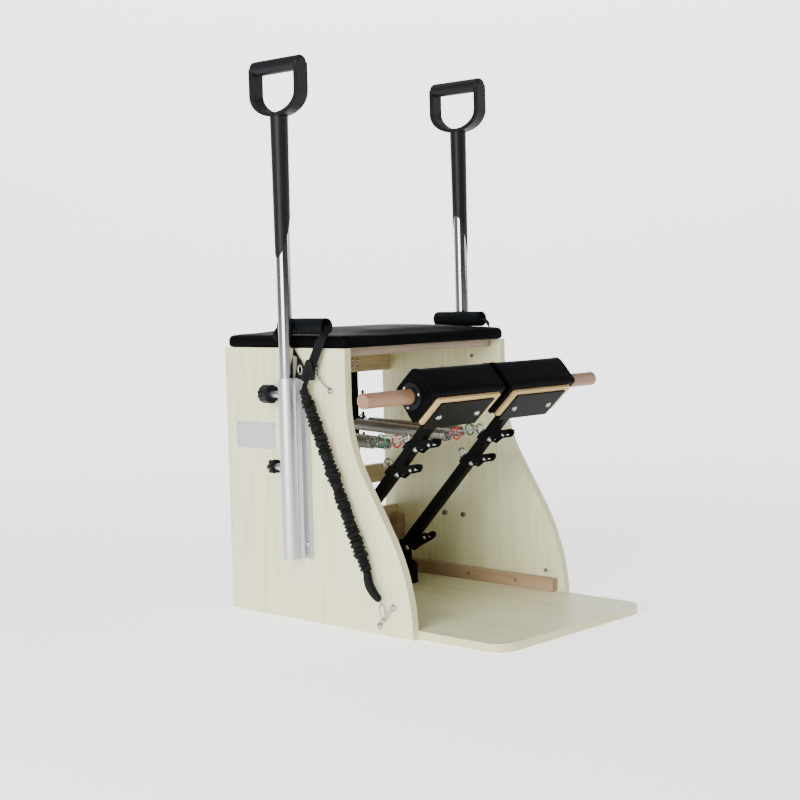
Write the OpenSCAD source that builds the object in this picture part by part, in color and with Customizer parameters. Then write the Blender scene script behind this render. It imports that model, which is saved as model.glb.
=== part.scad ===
// Pilates chair with split spring-loaded pedals, two push poles and two pull bands.
// Millimetres, +Z up, front of the deck towards -Y, floor at z = 0, origin below the middle.

/* [Overall] */
// width over the side panels
overall_w = 533; // [500:1:620]
// length from the front of the deck to the back of the panels
overall_l = 813; // [760:1:900]
// height of the side panels
panel_h = 610; // [580:1:660]

/* [Side panels] */
// thickness of a side panel
panel_t = 18; // [15:1:25]
// depth of a side panel at the seat
panel_top_d = 400; // [380:1:430]
// depth of a side panel at the floor
panel_foot_d = 584; // [560:1:620]
// slant of the front edge from the vertical, degrees
edge_a = 32.5; // [28:0.5:36]
// radius of the hollow curve under the seat
edge_r_top = 316; // [280:1:340]
// radius of the round curve at the foot
edge_r_foot = 411; // [380:1:430]

/* [Deck, rails and cleats] */
// thickness of the deck board
deck_t = 18; // [15:1:25]
// radius of the deck's front corners
deck_r = 48; // [20:1:80]
// section of the deck cleats, width then height
cleat_w = 18; // [15:1:30]
cleat_h = 30; // [20:1:40]
// front end of the deck cleats behind the panels' toes
cleat_inset = 22; // [10:1:60]
// thickness of the seat board
seat_board_t = 18; // [15:1:25]
// set-back of the seat board's front edge
seat_board_inset = 26; // [15:1:40]
// thickness of the back rails
rail_t = 22; // [18:1:26]
// set-back of the rails from the panels' back edge
rail_inset = 6.5; // [0:0.5:10]
// drop of the upper back rail below the seat board's top side
rail_up_h = 62; // [45:1:90]
// height of the lower back rail
rail_low_h = 45; // [35:1:60]
// top of the lower back rail
rail_low_z = 290; // [260:1:320]
// thickness of the rear board
rear_t = 18; // [15:1:22]
// top of the rear board
rear_z = 182; // [150:1:200]
// section of the rear cleats, width then depth
post_w = 28; // [20:1:35]
post_d = 25; // [20:1:30]
// top of the rear cleats
post_z = 160; // [120:1:170]

/* [Cushion] */
// thickness of the cushion at its edge
cushion_t = 30; // [25:1:50]
// height of the crown above the edge
cushion_crown = 6; // [2:1:12]
// overhang of the cushion at the sides
cushion_over = 1.5; // [0:0.5:4]
// how far the cushion's sides draw in between its corners
cushion_draw = 3; // [0:0.5:6]
// radius of the cushion's corners seen from above
cushion_corner = 16; // [14:1:40]

/* [Pedals] */
// distance of each pedal arm from the middle
arm_x = 124; // [115:1:130]
// side of the square arm tube
arm_w = 24; // [20:1:30]
// wall of the arm tube
arm_wall = 2; // [1.5:0.5:3]
// rise of the arms from the horizontal, degrees
arm_a = 45.6; // [40:0.1:48]
// distance of the hinges from the panels' back edge, and the height of their pins
hinge_back = 162.5; // [140:0.5:175]
hinge_z = 81.5; // [75:0.5:90]
// diameter of the hinge pins
pin_d = 16; // [12:1:20]
// distance from the hinge to the dowel along the arm
pad_reach = 592; // [570:1:620]
// distance of the dowel behind the arm's axis
pad_back = 8.7; // [6:0.1:12]
// slope of the pads' flats, degrees
pad_a = 42.8; // [38:0.1:48]
// distance of the pads' flats in front of the dowel
pad_flat = 42; // [38:0.5:44]
// length of a pad
pad_l = 230; // [200:1:234]
// thickness of the pad board
pad_board_t = 6; // [5:1:9]
// size of the pad board, along the dowel then along the arm
pad_board_l = 200; // [180:1:210]
pad_board_w = 80; // [74:1:84]
// thickness of the steel plate
plate_t = 4; // [3:0.5:6]
// length of the steel plate
plate_l = 168; // [140:1:175]
// diameter of the dowel
dowel_d = 32; // [28:1:34]
// length of the dowel
dowel_l = 770; // [700:1:820]
// places of the two spring clamps along the arm
clamp_at = [355, 438];
// place of the stop clamp along the arm
stop_at = 48; // [44:1:60]
// height of the pedal bumpers
bumper_h = 56; // [40:1:58]
// diameter of the pedal bumpers
bumper_d = 38; // [30:1:44]

/* [Springs] */
// outer diameter of a spring
spring_d = 28; // [24:1:30]
// wire of a spring
spring_wire = 3.6; // [3:0.2:4.2]
// turns shown on each spring
spring_turns = 17; // [10:1:20]
// sideways distance of a spring from its arm
spring_dx = 24; // [22:1:26]
// wire of the coloured rings
ring_wire = 4; // [3:0.5:5]
// mean radius of the coloured rings
ring_r = 13; // [12:0.5:15]
// section of the spring bars, width then thickness
bar_w = 28; // [24:1:32]
bar_t = 8; // [6:1:10]
// heights of the spring posts
post_zs = [359, 411, 465];

/* [Poles] */
// diameter of the poles
pole_d = 32; // [28:1:34]
// wall of the poles
pole_wall = 2; // [1.5:0.5:3]
// distance of the poles' axes from the panels
pole_out = 26; // [24:1:32]
// place of the poles behind the panels' front edge at the seat
pole_back = 158.5; // [140:0.5:180]
// running clearance of a pole in its holder
pole_gap = 0.05; // [0.01:0.01:0.1]
// outer diameter of the pole holder
holder_d = 40; // [38:1:46]
// bottom of the pole holders, and their top's drop below the panels' top
holder_z0 = 143; // [120:1:150]
holder_drop = 65; // [50:1:90]
// width of the holder's foot
holder_foot_w = 90; // [80:1:100]
// thickness of the holder's foot
holder_foot_t = 6; // [5:0.5:8]
// height of the grip bar's axis
grip_z = 1228; // [1180:1:1260]
// bottom of the grip's loop
neck_z = 1118; // [1090:1:1130]
// length of the grip bar
grip_l = 160; // [140:1:180]
// diameter of the grip bar
grip_d = 33; // [28:1:36]
// diameter of the grip's sleeve at the neck
sleeve_d = 40; // [38:1:46]
// lowest and highest points of the sleeve's slanted end
sleeve_z0 = 803; // [780:1:830]
sleeve_z1 = 925; // [880:1:950]
// drop of the upper, ribbed knob below the holder's top
knob_drop = 37; // [25:1:55]
// height of the lower, lobed knob
clamp_knob_z = 346; // [320:1:380]
// diameter and length of the ribbed knob
knob_d = 42; // [34:1:44]
knob_l = 26; // [20:1:30]
// length of the threaded boss below each knob, upper then lower
boss_ls = [30, 22];

/* [Pull bands] */
// diameter and length of the foam grips
foam_d = 36; // [30:1:38]
foam_l = 148; // [140:1:170]
// place of the foam grips behind the panels' front edge
foam_back = 135.5; // [120:0.5:145]
// diameter of the gathered sleeve over the band
band_d = 33; // [28:1:34]
// number of gathers in the sleeve
band_gathers = 30; // [16:1:40]
// width of the webbing
web_w = 25; // [20:1:30]

/* [Hidden] */
$fn = 48;
x_out = overall_w/2;
x_in = x_out - panel_t;
y_back = overall_l/2;
hinge_y = y_back - hinge_back;
holder_z1 = panel_h - holder_drop;
knob_z = holder_z1 - knob_drop;
top_y = y_back - panel_top_d;
foot_y = y_back - panel_foot_d;
// straight stretch of the front edge, between the two curves
edge_run = (panel_foot_d - panel_top_d - (edge_r_top + edge_r_foot)*(1 - cos(edge_a)))/sin(edge_a);
edge_top_z = (edge_r_top + edge_r_foot)*sin(edge_a) + edge_run*cos(edge_a);
seat_z = panel_h - seat_board_t;
seat_board_y = top_y + seat_board_inset;
rail_y = y_back - rail_inset - rail_t;
bar_y = rail_y + 6;
bar_z0 = rail_low_z - 30;
rail_up_z = seat_z - rail_up_h;
bar_z1 = rail_up_z + 40;
rear_y = rail_y - 13;
pole_x = x_out + pole_out;
pole_y = top_y + pole_back;
pole_z0 = clamp_knob_z - 56;
pole_z1 = neck_z - 10;
foam_y = top_y + foam_back;
foam_x = pole_x - pole_d/2 - foam_d/2 - 1.5;
foam_gap = 0.2;
foam_z = panel_h + cushion_t + foam_d/2 + foam_gap;
plate_n = pad_flat + pad_board_t;
pad_x = arm_x - 1;
bumper_y = hinge_y - bumper_d/2 - 20;
eye_off = -13;
eye_n = -28.5;
eye_r = 11;
ring_drop = 8;
link_wire = 3.2;
link_dz = 3.2;
link_r = 6.5;
clamp_plate = 3;
clamp_back = 2.5;
clamp_bolt_n = arm_w/2 + 3.5;
bolt_d = 8;
screw_d = 5;
holder_bolt_y = 31;
holder_bolt_z = [holder_z0 + 32, holder_z1 - 10];
// centres of the eyes on the panels' outer faces, as y and z pairs
eye_up = [[top_y + 88, panel_h - 41], [top_y + 46, panel_h - 92]];
eye_low = [[foot_y + 54, 64], [foot_y + 97, 19]];
eye_rise = 12;
// ends of the pull band: how far out, then back, then up
band_top = [x_out + band_d/2 + holder_foot_t + 3.5, pole_y - 53, panel_h - 88];
band_bottom = [x_out + band_d/2 + 3, eye_low[0][0] + 59.5, eye_low[0][1] + 73];
band_tip = band_bottom + [-3, -36, -60];
web_mid = [pole_y - 69, panel_h - 54];
wood = [0.88, 0.84, 0.74];
ply = [0.80, 0.68, 0.50];
beech = [0.78, 0.62, 0.52];
black = [0.09, 0.09, 0.10];
vinyl = [0.05, 0.05, 0.05];
chrome = [0.78, 0.79, 0.80];
satin = [0.72, 0.73, 0.75];
red = [0.75, 0.04, 0.04];
green = [0.03, 0.42, 0.22];

// a point on the arm, from its distance along the arm and its distance in front of it
function arm_pt(a, n) = [hinge_y - a*cos(arm_a) - n*sin(arm_a), hinge_z + a*sin(arm_a) - n*cos(arm_a)];
function unit(v) = v/norm(v);

module both() { children(); mirror([1, 0, 0]) children(); }
module side(s) { mirror([s < 0 ? 1 : 0, 0, 0]) children(); }
// carries its children into the arm's frame: +Y along the arm, +Z out of its front
module on_arm(x = arm_x) { translate([x, hinge_y, hinge_z]) rotate([180 - arm_a, 0, 0]) children(); }
// carries its children into the pads' frame, whose X axis is the dowel's axis
module on_pad(x = pad_x) {
    translate([x, arm_pt(pad_reach, -pad_back)[0], arm_pt(pad_reach, -pad_back)[1]]) rotate([180 - pad_a, 0, 0]) children();
}
module slab(x0, x1, y0, y1, z0, z1) { translate([x0, y0, z0]) cube([x1 - x0, y1 - y0, z1 - z0]); }
module along_x(d, l) { rotate([0, 90, 0]) cylinder(d = d, h = l, center = true); }
module round_box(w, d, r) {
    translate([-w/2, -d/2]) union() {
        translate([r, 0]) square([w - 2*r, d]);
        translate([0, r]) square([w, d - 2*r]);
        for (x = [r, w - r], y = [r, d - r]) translate([x, y]) circle(r = r);
    }
}
module torus(r, d) { rotate_extrude() translate([r, 0]) circle(d = d, $fn = 24); }
// a bolt along +Z from z = 0, with a domed head below and a hexagonal nut at the far end
module dome_head(d, h) {
    rotate_extrude() intersection() {
        translate([0, h - (d*d/4 + h*h)/(2*h)]) circle(r = (d*d/4 + h*h)/(2*h), $fn = 64);
        square([d, h]);
    }
}
module bolt(d, l, head, nut = 0) {
    cylinder(d = d, h = l);
    rotate([180, 0, 0]) dome_head(head, head*0.3);
    if (nut > 0) translate([0, 0, l - nut*0.6]) cylinder(d = nut, h = nut*0.6, $fn = 6);
}

// Frame

// half a side panel's outline: depth along x, height along y
module panel_outline() {
    a = edge_a;
    c_top = [top_y - edge_r_top, edge_top_z];
    c_foot = [foot_y + edge_r_foot, 0];
    polygon(concat(
        [[y_back, 0], [y_back, panel_h], [top_y, panel_h]],
        [for (i = [0:12]) c_top + edge_r_top*[cos(i*a/12), -sin(i*a/12)]],
        [for (i = [0:12]) c_foot + edge_r_foot*[-cos(a - i*a/12), sin(a - i*a/12)]]
    ));
}
module panel_holes(d = bolt_d + 0.2) {
    for (z = holder_bolt_z, s = [-1, 1]) translate([x_in - 1, pole_y + s*holder_bolt_y, z])
        rotate([0, 90, 0]) cylinder(d = d, h = panel_t + 2);
    for (p = concat(eye_up, eye_low)) translate([x_in - 1, p[0], p[1]])
        rotate([0, 90, 0]) cylinder(d = screw_d + 0.2, h = panel_t + 2);
}
module side_panel() {
    color(wood) difference() {
        translate([x_in, 0, 0]) rotate([90, 0, 90]) linear_extrude(panel_t) panel_outline();
        panel_holes();
    }
}
module deck_board() {
    color(wood) linear_extrude(deck_t) difference() {
        translate([-x_in, -y_back]) square([2*x_in, overall_l]);
        both() translate([x_in - deck_r, -y_back - 1]) difference() {
            square([deck_r + 1, deck_r + 1]);
            translate([0, deck_r + 1]) circle(r = deck_r, $fn = 72);
        }
    }
}
cleat_y0 = foot_y + cleat_inset;
cleat_y1 = rear_y;
cleat_screw_y = [cleat_y0 + 114, (cleat_y0 + 114 + 261)/2, 261];
module cleats() {
    color(beech) both() {
        difference() {
            slab(x_in - cleat_w, x_in, cleat_y0, cleat_y1, deck_t, deck_t + cleat_h);
            for (y = cleat_screw_y) translate([x_in - cleat_w, y, deck_t + cleat_h/2]) {
                along_x(screw_d, 4*cleat_w);
                along_x(10, 8);
            }
        }
        slab(x_in - post_w, x_in, rear_y - post_d, rear_y, deck_t + cleat_h, post_z);
    }
}
module rear_board() { color(ply) slab(-x_in, x_in, rear_y, rear_y + rear_t, deck_t, rear_z); }
module seat_board() {
    color(beech) translate([0, (seat_board_y + rail_y + rail_t)/2, seat_z])
        linear_extrude(seat_board_t) round_box(2*x_in, rail_y + rail_t - seat_board_y, 14);
}
module bar_pocket(z) { both() translate([arm_x, bar_y + bar_t/2, z]) cube([bar_w, bar_t, 100], center = true); }
rail_screw_z = [(rail_up_z + bar_z1)/2 - 8, (rail_up_z + bar_z1)/2 + 10];
module upper_back_rail() {
    color(ply) difference() {
        slab(-x_in, x_in, rail_y, rail_y + rail_t, rail_up_z, seat_z);
        bar_pocket(bar_z1 - 50);
        both() for (z = rail_screw_z, s = [-9, 9]) translate([arm_x + s, rail_y, z])
            rotate([90, 0, 0]) cylinder(d = screw_d, h = 40, center = true);
    }
}
module lower_back_rail() {
    color(ply) difference() {
        slab(-x_in, x_in, rail_y, rail_y + rail_t, rail_low_z - rail_low_h, rail_low_z);
        bar_pocket(bar_z0 + 50);
        both() translate([arm_x, rail_y, rail_low_z - 15])
            rotate([90, 0, 0]) cylinder(d = bolt_d, h = 50, center = true);
    }
}
// flat bar with T-shaped posts for the springs on both edges
module spring_bar() {
    color(black) difference() {
        union() {
            slab(arm_x - bar_w/2, arm_x + bar_w/2, bar_y, bar_y + bar_t, bar_z0, bar_z1);
            for (z = post_zs, s = [-1, 1]) translate([arm_x + s*bar_w/2, bar_y + bar_t/2, z]) {
                translate([s*9, 0, 0]) along_x(bar_t, 18);
                translate([s*19, 0, 0]) cylinder(d = 7, h = 28, center = true);
                for (t = [-14, 14]) translate([s*19, 0, t]) sphere(d = 7, $fn = 24);
            }
        }
        for (z = rail_screw_z, s = [-9, 9]) translate([arm_x + s, bar_y, z])
            rotate([90, 0, 0]) cylinder(d = screw_d, h = 40, center = true);
        translate([arm_x, bar_y, rail_low_z - 15]) rotate([90, 0, 0]) cylinder(d = bolt_d, h = 40, center = true);
    }
}

// Hinges and bumpers

ear_t = 8;
hub_l = 42;
ear_x = hub_l/2 + 0.3;
module hinge_brackets() {
    color(black) both() translate([arm_x, hinge_y, 0]) {
        translate([0, 14, deck_t]) linear_extrude(6) round_box(2*(ear_x + ear_t) + 30, 64, 8);
        for (s = [-1, 1]) translate([s*(ear_x + ear_t/2), 0, 0]) difference() {
            union() {
                translate([0, 0, hinge_z]) along_x(36, ear_t);
                translate([-ear_t/2, -18, deck_t + 5]) cube([ear_t, 36, hinge_z - deck_t - 5]);
            }
            translate([0, 0, hinge_z]) along_x(pin_d, 2*ear_t);
        }
    }
}
module hinge_pins() {
    color(chrome) both() translate([arm_x, hinge_y, hinge_z]) {
        along_x(pin_d, 2*(ear_x + ear_t) + 8);
        for (s = [-1, 1]) translate([s*(ear_x + ear_t + 2), 0, 0]) along_x(pin_d + 8, 4);
    }
}
module pedal_bumpers() {
    r = bumper_d/2;
    color(black) both() translate([arm_x, bumper_y, deck_t]) rotate_extrude() union() {
        square([r, bumper_h - r*0.7]);
        intersection() {
            translate([0, bumper_h - r*0.7]) scale([1, 0.7]) circle(r = r, $fn = 64);
            square([r, bumper_h]);
        }
    }
}

// Pedals

hub_d = 34;
// lower end of the pads' steel plate, below the dowel
plate_a = -50;
// extrusion of a section along the arm
module arm_run(a0, a1) { translate([0, a0, 0]) rotate([-90, 0, 0]) linear_extrude(a1 - a0) children(); }
module pedal_arm() {
    color(black) difference() {
        union() {
            on_arm() along_x(hub_d, hub_l);
            difference() {
                on_arm() arm_run(6, pad_reach) round_box(arm_w, arm_w, 3);
                on_arm() arm_run(hub_d/2, pad_reach) round_box(arm_w - 2*arm_wall, arm_w - 2*arm_wall, 1.5);
                on_pad(arm_x) slab(-50, 50, plate_a + 1, 100, -100, 100);
            }
            on_pad(arm_x) {
                slab(-plate_l/2, plate_l/2, plate_a, plate_a + plate_t, -8, plate_n + plate_t);
                slab(-plate_l/2, plate_l/2, plate_a, pad_board_w/2 - 9, plate_n, plate_n + plate_t);
            }
        }
        on_arm() along_x(pin_d + 0.1, hub_l + 2);
        on_arm() for (a = clamp_at) translate([0, a + eye_off, -arm_w/2]) cylinder(d = bolt_d, h = 3*arm_wall, center = true);
        on_pad(arm_x) for (s = [-1, 1]) translate([s*plate_l*0.36, -14, plate_n]) cylinder(d = 6, h = 3*plate_t, center = true);
    }
}
module pad_board() {
    color(ply) on_pad() difference() {
        translate([0, 2, pad_flat]) linear_extrude(pad_board_t) round_box(pad_board_l, pad_board_w, 6);
        for (s = [-1, 1]) translate([arm_x - pad_x + s*plate_l*0.36, -14, plate_n]) cylinder(d = 6, h = 26, center = true);
    }
}
// the pad's end: flat in front, round above and behind, around the dowel at [0, 0]
module pad_section() {
    b = 44;
    r = 26;
    polygon(concat(
        [[-40, pad_flat - 4], [-36, pad_flat], [50, pad_flat], [55, pad_flat - 5]],
        [for (t = [0:9:90]) [56 - r + r*cos(t), r - b - r*sin(t)]],
        [for (t = [0:30:90]) [-22 - 11*sin(t), 10 - b - 10*cos(t)]]
    ));
}
module pedal_pad() {
    color(vinyl) on_pad() difference() {
        translate([-pad_l/2, 0, 0]) rotate([90, 0, 90]) linear_extrude(pad_l) pad_section();
        along_x(dowel_d + 1, pad_l + 2);
    }
}
flange_t = 4;
module pad_flange(s) {
    color(black) on_pad() translate([s*(pad_l/2 + flange_t/2), 0, 0]) difference() {
        union() {
            along_x(58, flange_t);
            translate([s*3, 0, 0]) along_x(dowel_d + 8, flange_t + 3);
        }
        along_x(dowel_d + 0.16, 20);
        for (t = [30, 150, 270]) rotate([t, 0, 0]) translate([0, 24, 0]) along_x(3, 20);
    }
}
// outline of a clamp's side plates: along the arm, then out of its front
module clamp_outline(nose = 0) {
    n0 = -arm_w/2 - clamp_back;
    polygon([[-24, n0], [-2, n0], [8, 1], [28, 14], [46 + nose, 27], [54 + nose, 37], [47 + nose, 43],
        [36 + nose, 43], [12, 26], [-8, 22], [-24, -2]]);
}
module arm_clamp(nose = 0) {
    for (s = [-1, 1]) translate([s*(arm_w/2 + clamp_plate/2) - clamp_plate/2, 0, 0])
        rotate([90, 0, 90]) linear_extrude(clamp_plate) difference() {
            clamp_outline(nose);
            translate([0, clamp_bolt_n]) circle(d = 6);
            translate([38 + nose, 36]) circle(d = 5);
        }
    difference() {
        slab(-arm_w/2, arm_w/2, -24, -2, -arm_w/2 - clamp_back, -arm_w/2);
        translate([0, eye_off, -arm_w/2]) cylinder(d = bolt_d, h = 8, center = true);
    }
}
stop_nose = 25;
module arm_clamps() {
    color(black) on_arm() {
        for (a = clamp_at) translate([0, a, 0]) arm_clamp();
        translate([0, stop_at, 0]) arm_clamp(stop_nose);
    }
}
module eye_bolts() {
    color(chrome) on_arm() for (a = clamp_at) translate([0, a + eye_off, 0]) {
        translate([0, 0, eye_n]) rotate([0, 90, 0]) torus(eye_r, 5);
        translate([0, 0, eye_n + eye_r + 1]) cylinder(d = bolt_d, h = -eye_n - eye_r - arm_w/2 + arm_wall);
        translate([0, 0, -arm_w/2 - clamp_back - 5.5]) cylinder(d = 15, h = 5.5, $fn = 6);
    }
}
module arm_bolts() {
    w = arm_w + 2*clamp_plate;
    color(chrome) on_arm() {
        for (a = concat(clamp_at, [stop_at])) translate([-w/2, a, clamp_bolt_n]) rotate([0, 90, 0]) bolt(6, w + 7, 13, 11);
        for (a = clamp_at) translate([-w/2, a + 38, 36]) rotate([0, 90, 0]) bolt(5, w + 6, 9, 9);
        translate([-w/2, stop_at + 38 + stop_nose, 36]) rotate([0, 90, 0]) bolt(5, w + 6, 9, 9);
    }
    color(chrome) on_pad(arm_x) for (s = [-1, 1]) translate([s*plate_l*0.36, -14, plate_n + plate_t])
        rotate([180, 0, 0]) bolt(6, plate_t + pad_board_t - 1, 15);
}
module dowel() {
    c = arm_pt(pad_reach, -pad_back);
    color(beech) translate([0, c[0], c[1]]) union() {
        along_x(dowel_d, dowel_l - 6);
        for (s = [-1, 1]) translate([s*(dowel_l/2 - 3), 0, 0]) rotate([0, s*90, 0])
            cylinder(d1 = dowel_d, d2 = dowel_d - 6, h = 3);
    }
}

// Springs

eye_pt = arm_pt(clamp_at[1] + eye_off, eye_n);
// the link that joins a coloured ring to the eye is level; the two links lie one above the other
function link_z(s) = eye_pt[1] + s*link_dz;
function ring_c(s) = [arm_x + s*spring_dx, eye_pt[0] + eye_r + 42, link_z(s) - ring_drop];
function back_ring_c(s) = [arm_x + s*spring_dx, bar_y + bar_t/2 - 6.1, post_zs[1] - 3];
// the springs hang a little below the middles of their rings
coil_drop = 6;
coil_off = 14.6 + sqrt(ring_r*ring_r - coil_drop*coil_drop);
function coil_front(s) = ring_c(s) + [0, coil_off, -coil_drop];
function coil_back(s) = back_ring_c(s) + [0, -coil_off, -coil_drop];
hook_r = 6;
hook_l = 20;
steps = 8;
// the wire's centre line: an end loop, the turns, and an end loop, as [across, up, along]
function wire_path(l) = let (r = (spring_d - spring_wire)/2, n = spring_turns*steps) concat(
    [[-hook_r, 0, -6]],
    [for (t = [180:-45:0]) [hook_r*cos(t), 0, -hook_l + hook_r - hook_r*sin(t)]],
    [[r*0.72, 0, -spring_wire*1.6]],
    [for (i = [0:n]) [r*cos(360*i/steps), r*sin(360*i/steps), l*i/n]],
    [[r*0.72, 0, l + spring_wire*1.6]],
    [for (t = [0:45:180]) [hook_r*cos(t), 0, l + hook_l - hook_r + hook_r*sin(t)]],
    [[-hook_r, 0, l + 6]]
);
function tangents(p) = [for (i = [0:len(p) - 1]) unit(p[min(i + 1, len(p) - 1)] - p[max(i - 1, 0)])];
function carried(p, t, n0) = [for (i = 0, n = n0; i < len(p);
    i = i + 1, n = i < len(p) ? unit(n - (n*t[i])*t[i]) : n) n];
// closed tube along a list of points
module tube(p, d, sides = 6) {
    t = tangents(p);
    n = carried(p, t, unit(cross(t[0], [0, 0, 1]) + [0, 1e-6, 0]));
    m = len(p);
    pts = [for (i = [0:m - 1]) let (b = cross(t[i], n[i])) for (k = [0:sides - 1])
        p[i] + d/2*(cos(360*k/sides)*n[i] + sin(360*k/sides)*b)];
    walls = [for (i = [0:m - 2], k = [0:sides - 1]) let (a = i*sides + k, b = i*sides + (k + 1)%sides)
        each [[a, a + sides, b], [b, a + sides, b + sides]]];
    ends = concat([for (k = [1:sides - 2]) [0, k, k + 1]],
        [for (k = [1:sides - 2]) [(m - 1)*sides, (m - 1)*sides + k + 1, (m - 1)*sides + k]]);
    polyhedron(pts, concat(walls, ends), convexity = 10);
}
// least distance between stretches of the wire that lie more than half a turn apart, less its width
function wire_gap(p) = min([for (i = [0:len(p) - 1], j = [0:len(p) - 1]) if (j > i + 4 && j < i + 14) norm(p[i] - p[j])])
    - spring_wire;
module coil_spring(s) {
    a = coil_back(s);
    v = coil_front(s) - a;
    p = wire_path(norm(v));
    echo(least_gap = wire_gap(p));
    color(chrome) translate(a) rotate([0, 0, atan2(v[1], v[0])]) rotate([0, acos(v[2]/norm(v)), 0])
        rotate([0, 0, 90]) tube(p, spring_wire);
}
module yz_ring(c) { translate(c) rotate([0, 90, 0]) torus(ring_r, ring_wire); }
module spring_rings() {
    color(red) yz_ring(ring_c(-1));
    color(green) yz_ring(ring_c(1));
}
module rear_rings() {
    both() {
        color(red) yz_ring(back_ring_c(-1));
        color(green) yz_ring(back_ring_c(1));
    }
}
// closed link between two points of the same height
module link(p, q) {
    v = q - p;
    l = norm(v);
    translate(p) rotate([0, 0, atan2(v[1], v[0])]) {
        for (s = [-1, 1]) translate([0, s*link_r, 0]) rotate([0, 90, 0]) cylinder(d = link_wire, h = l);
        rotate([0, 0, 90]) rotate_extrude(angle = 180) translate([link_r, 0]) circle(d = link_wire, $fn = 24);
        translate([l, 0, 0]) rotate([0, 0, -90]) rotate_extrude(angle = 180) translate([link_r, 0]) circle(d = link_wire, $fn = 24);
    }
}
module snap_hooks() {
    color(chrome) for (s = [-1, 1]) link(
        [arm_x, eye_pt[0] + sqrt(eye_r*eye_r - link_dz*link_dz) + 1.75, link_z(s)],
        [arm_x + s*spring_dx, ring_c(s)[1] - sqrt(ring_r*ring_r - ring_drop*ring_drop) - 0.5, link_z(s)]);
}

// Poles

module holder_section() {
    w = holder_foot_w/2;
    t = holder_foot_t;
    difference() {
        union() {
            circle(d = holder_d, $fn = 96);
            translate([-pole_out, -w]) square([t, 2*w]);
            for (s = [-1, 1]) {
                translate([-pole_out, s*(w - 2) - 2]) square([t + 3, 4]);
                polygon([[-pole_out + t, s*20], [-pole_out + t, 0], [-12, s*12], [-13, s*15.2]]);
            }
            translate([-pole_out, -10]) square([t + 4, 20]);
        }
        circle(d = pole_d + 2*pole_gap, $fn = 96);
    }
}
module at_knob(z) { translate([pole_x, pole_y, z]) rotate([-90, 0, 0]) children(); }
module pole_holder() {
    color(satin) difference() {
        union() {
            translate([pole_x, pole_y, holder_z0]) linear_extrude(holder_z1 - holder_z0) holder_section();
            for (i = [0, 1]) at_knob([knob_z, clamp_knob_z][i]) difference() {
                cylinder(d = 15, h = holder_d/2 + boss_ls[i]);
                translate([0, 0, -1]) cylinder(d = pole_d + 2, h = pole_d/2 + 2);
            }
        }
        translate([pole_x, pole_y, holder_z0 - 1]) cylinder(d = pole_d + 2*pole_gap, h = holder_z1 - holder_z0 + 2, $fn = 96);
        for (z = [knob_z, clamp_knob_z]) at_knob(z) cylinder(d = bolt_d + 0.1, h = 70);
        for (z = holder_bolt_z, s = [-1, 1]) translate([x_out - 1, pole_y + s*holder_bolt_y, z])
            rotate([0, 90, 0]) cylinder(d = bolt_d + 0.2, h = 20);
    }
}
module pole() {
    color(chrome) translate([pole_x, pole_y, pole_z0]) difference() {
        cylinder(d = pole_d, h = pole_z1 - pole_z0, $fn = 96);
        translate([0, 0, -1]) cylinder(d = pole_d - 2*pole_wall, h = pole_z1 - pole_z0 + 2, $fn = 96);
    }
}
// the grip's loop in its own plane: along the bar, then up
module loop_outline(hw, z_side, z_low, z_top) {
    polygon(concat([[hw, z_top]], [for (t = [0:10:180]) [hw*cos(t), z_side - (z_side - z_low)*sin(t)]], [[-hw, z_top]]));
}
module d_grip() {
    color(black) translate([pole_x, pole_y, 0]) {
        difference() {
            union() {
                rotate_extrude() polygon([[0, sleeve_z0], [pole_d/2 + 1.5, sleeve_z0], [pole_d/2 + 2, sleeve_z0 + 60],
                    [sleeve_d/2 - 1, sleeve_z1 + 85], [sleeve_d/2, neck_z], [sleeve_d/2 - 2, neck_z + 9], [0, neck_z + 9]]);
                translate([-15, 0, 0]) rotate([90, 0, 90]) linear_extrude(30) difference() {
                    loop_outline(grip_l/2, 1168, neck_z, grip_z);
                    loop_outline(grip_l/2 - 13, 1170, neck_z + 9, grip_z + 1);
                }
                translate([0, -grip_l/2, grip_z]) rotate([-90, 0, 0]) rotate_extrude() union() {
                    square([grip_d/2 - 8, grip_l]);
                    translate([0, 8]) square([grip_d/2, grip_l - 16]);
                    for (y = [8, grip_l - 8]) translate([grip_d/2 - 8, y]) circle(r = 8, $fn = 48);
                }
            }
            translate([0, 0, sleeve_z0 - 1]) cylinder(d = pole_d + 0.04, h = pole_z1 - sleeve_z0 + 1, $fn = 96);
            translate([sleeve_d/2, 0, sleeve_z0]) rotate([0, -atan(sleeve_d/(sleeve_z1 - sleeve_z0)), 0])
                translate([-200, -40, -200]) cube([200, 80, 400]);
        }
    }
}
module height_knob() {
    color(black) at_knob(knob_z) translate([0, 0, holder_d/2 + boss_ls[0] + 0.3]) {
        difference() {
            cylinder(d = knob_d, h = knob_l);
            for (t = [0:30:330]) rotate([0, 0, t]) translate([knob_d/2 + 1.5, 0, -1]) cylinder(d = 6, h = knob_l + 2, $fn = 24);
        }
        translate([0, 0, knob_l]) cylinder(d1 = knob_d - 8, d2 = knob_d - 14, h = 2);
        translate([0, 0, -boss_ls[0] - 3]) cylinder(d = bolt_d, h = boss_ls[0] + 4);
    }
}
module clamp_knob() {
    color(black) at_knob(clamp_knob_z) translate([0, 0, holder_d/2 + boss_ls[1] + 0.3]) {
        cylinder(d = 22, h = 16);
        for (t = [0:60:300]) rotate([0, 0, t]) translate([11, 0, 1]) cylinder(d = 11, h = 14, $fn = 32);
        translate([0, 0, -boss_ls[1] - 3]) cylinder(d = bolt_d, h = boss_ls[1] + 4);
    }
}

// Small parts on the panels

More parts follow.
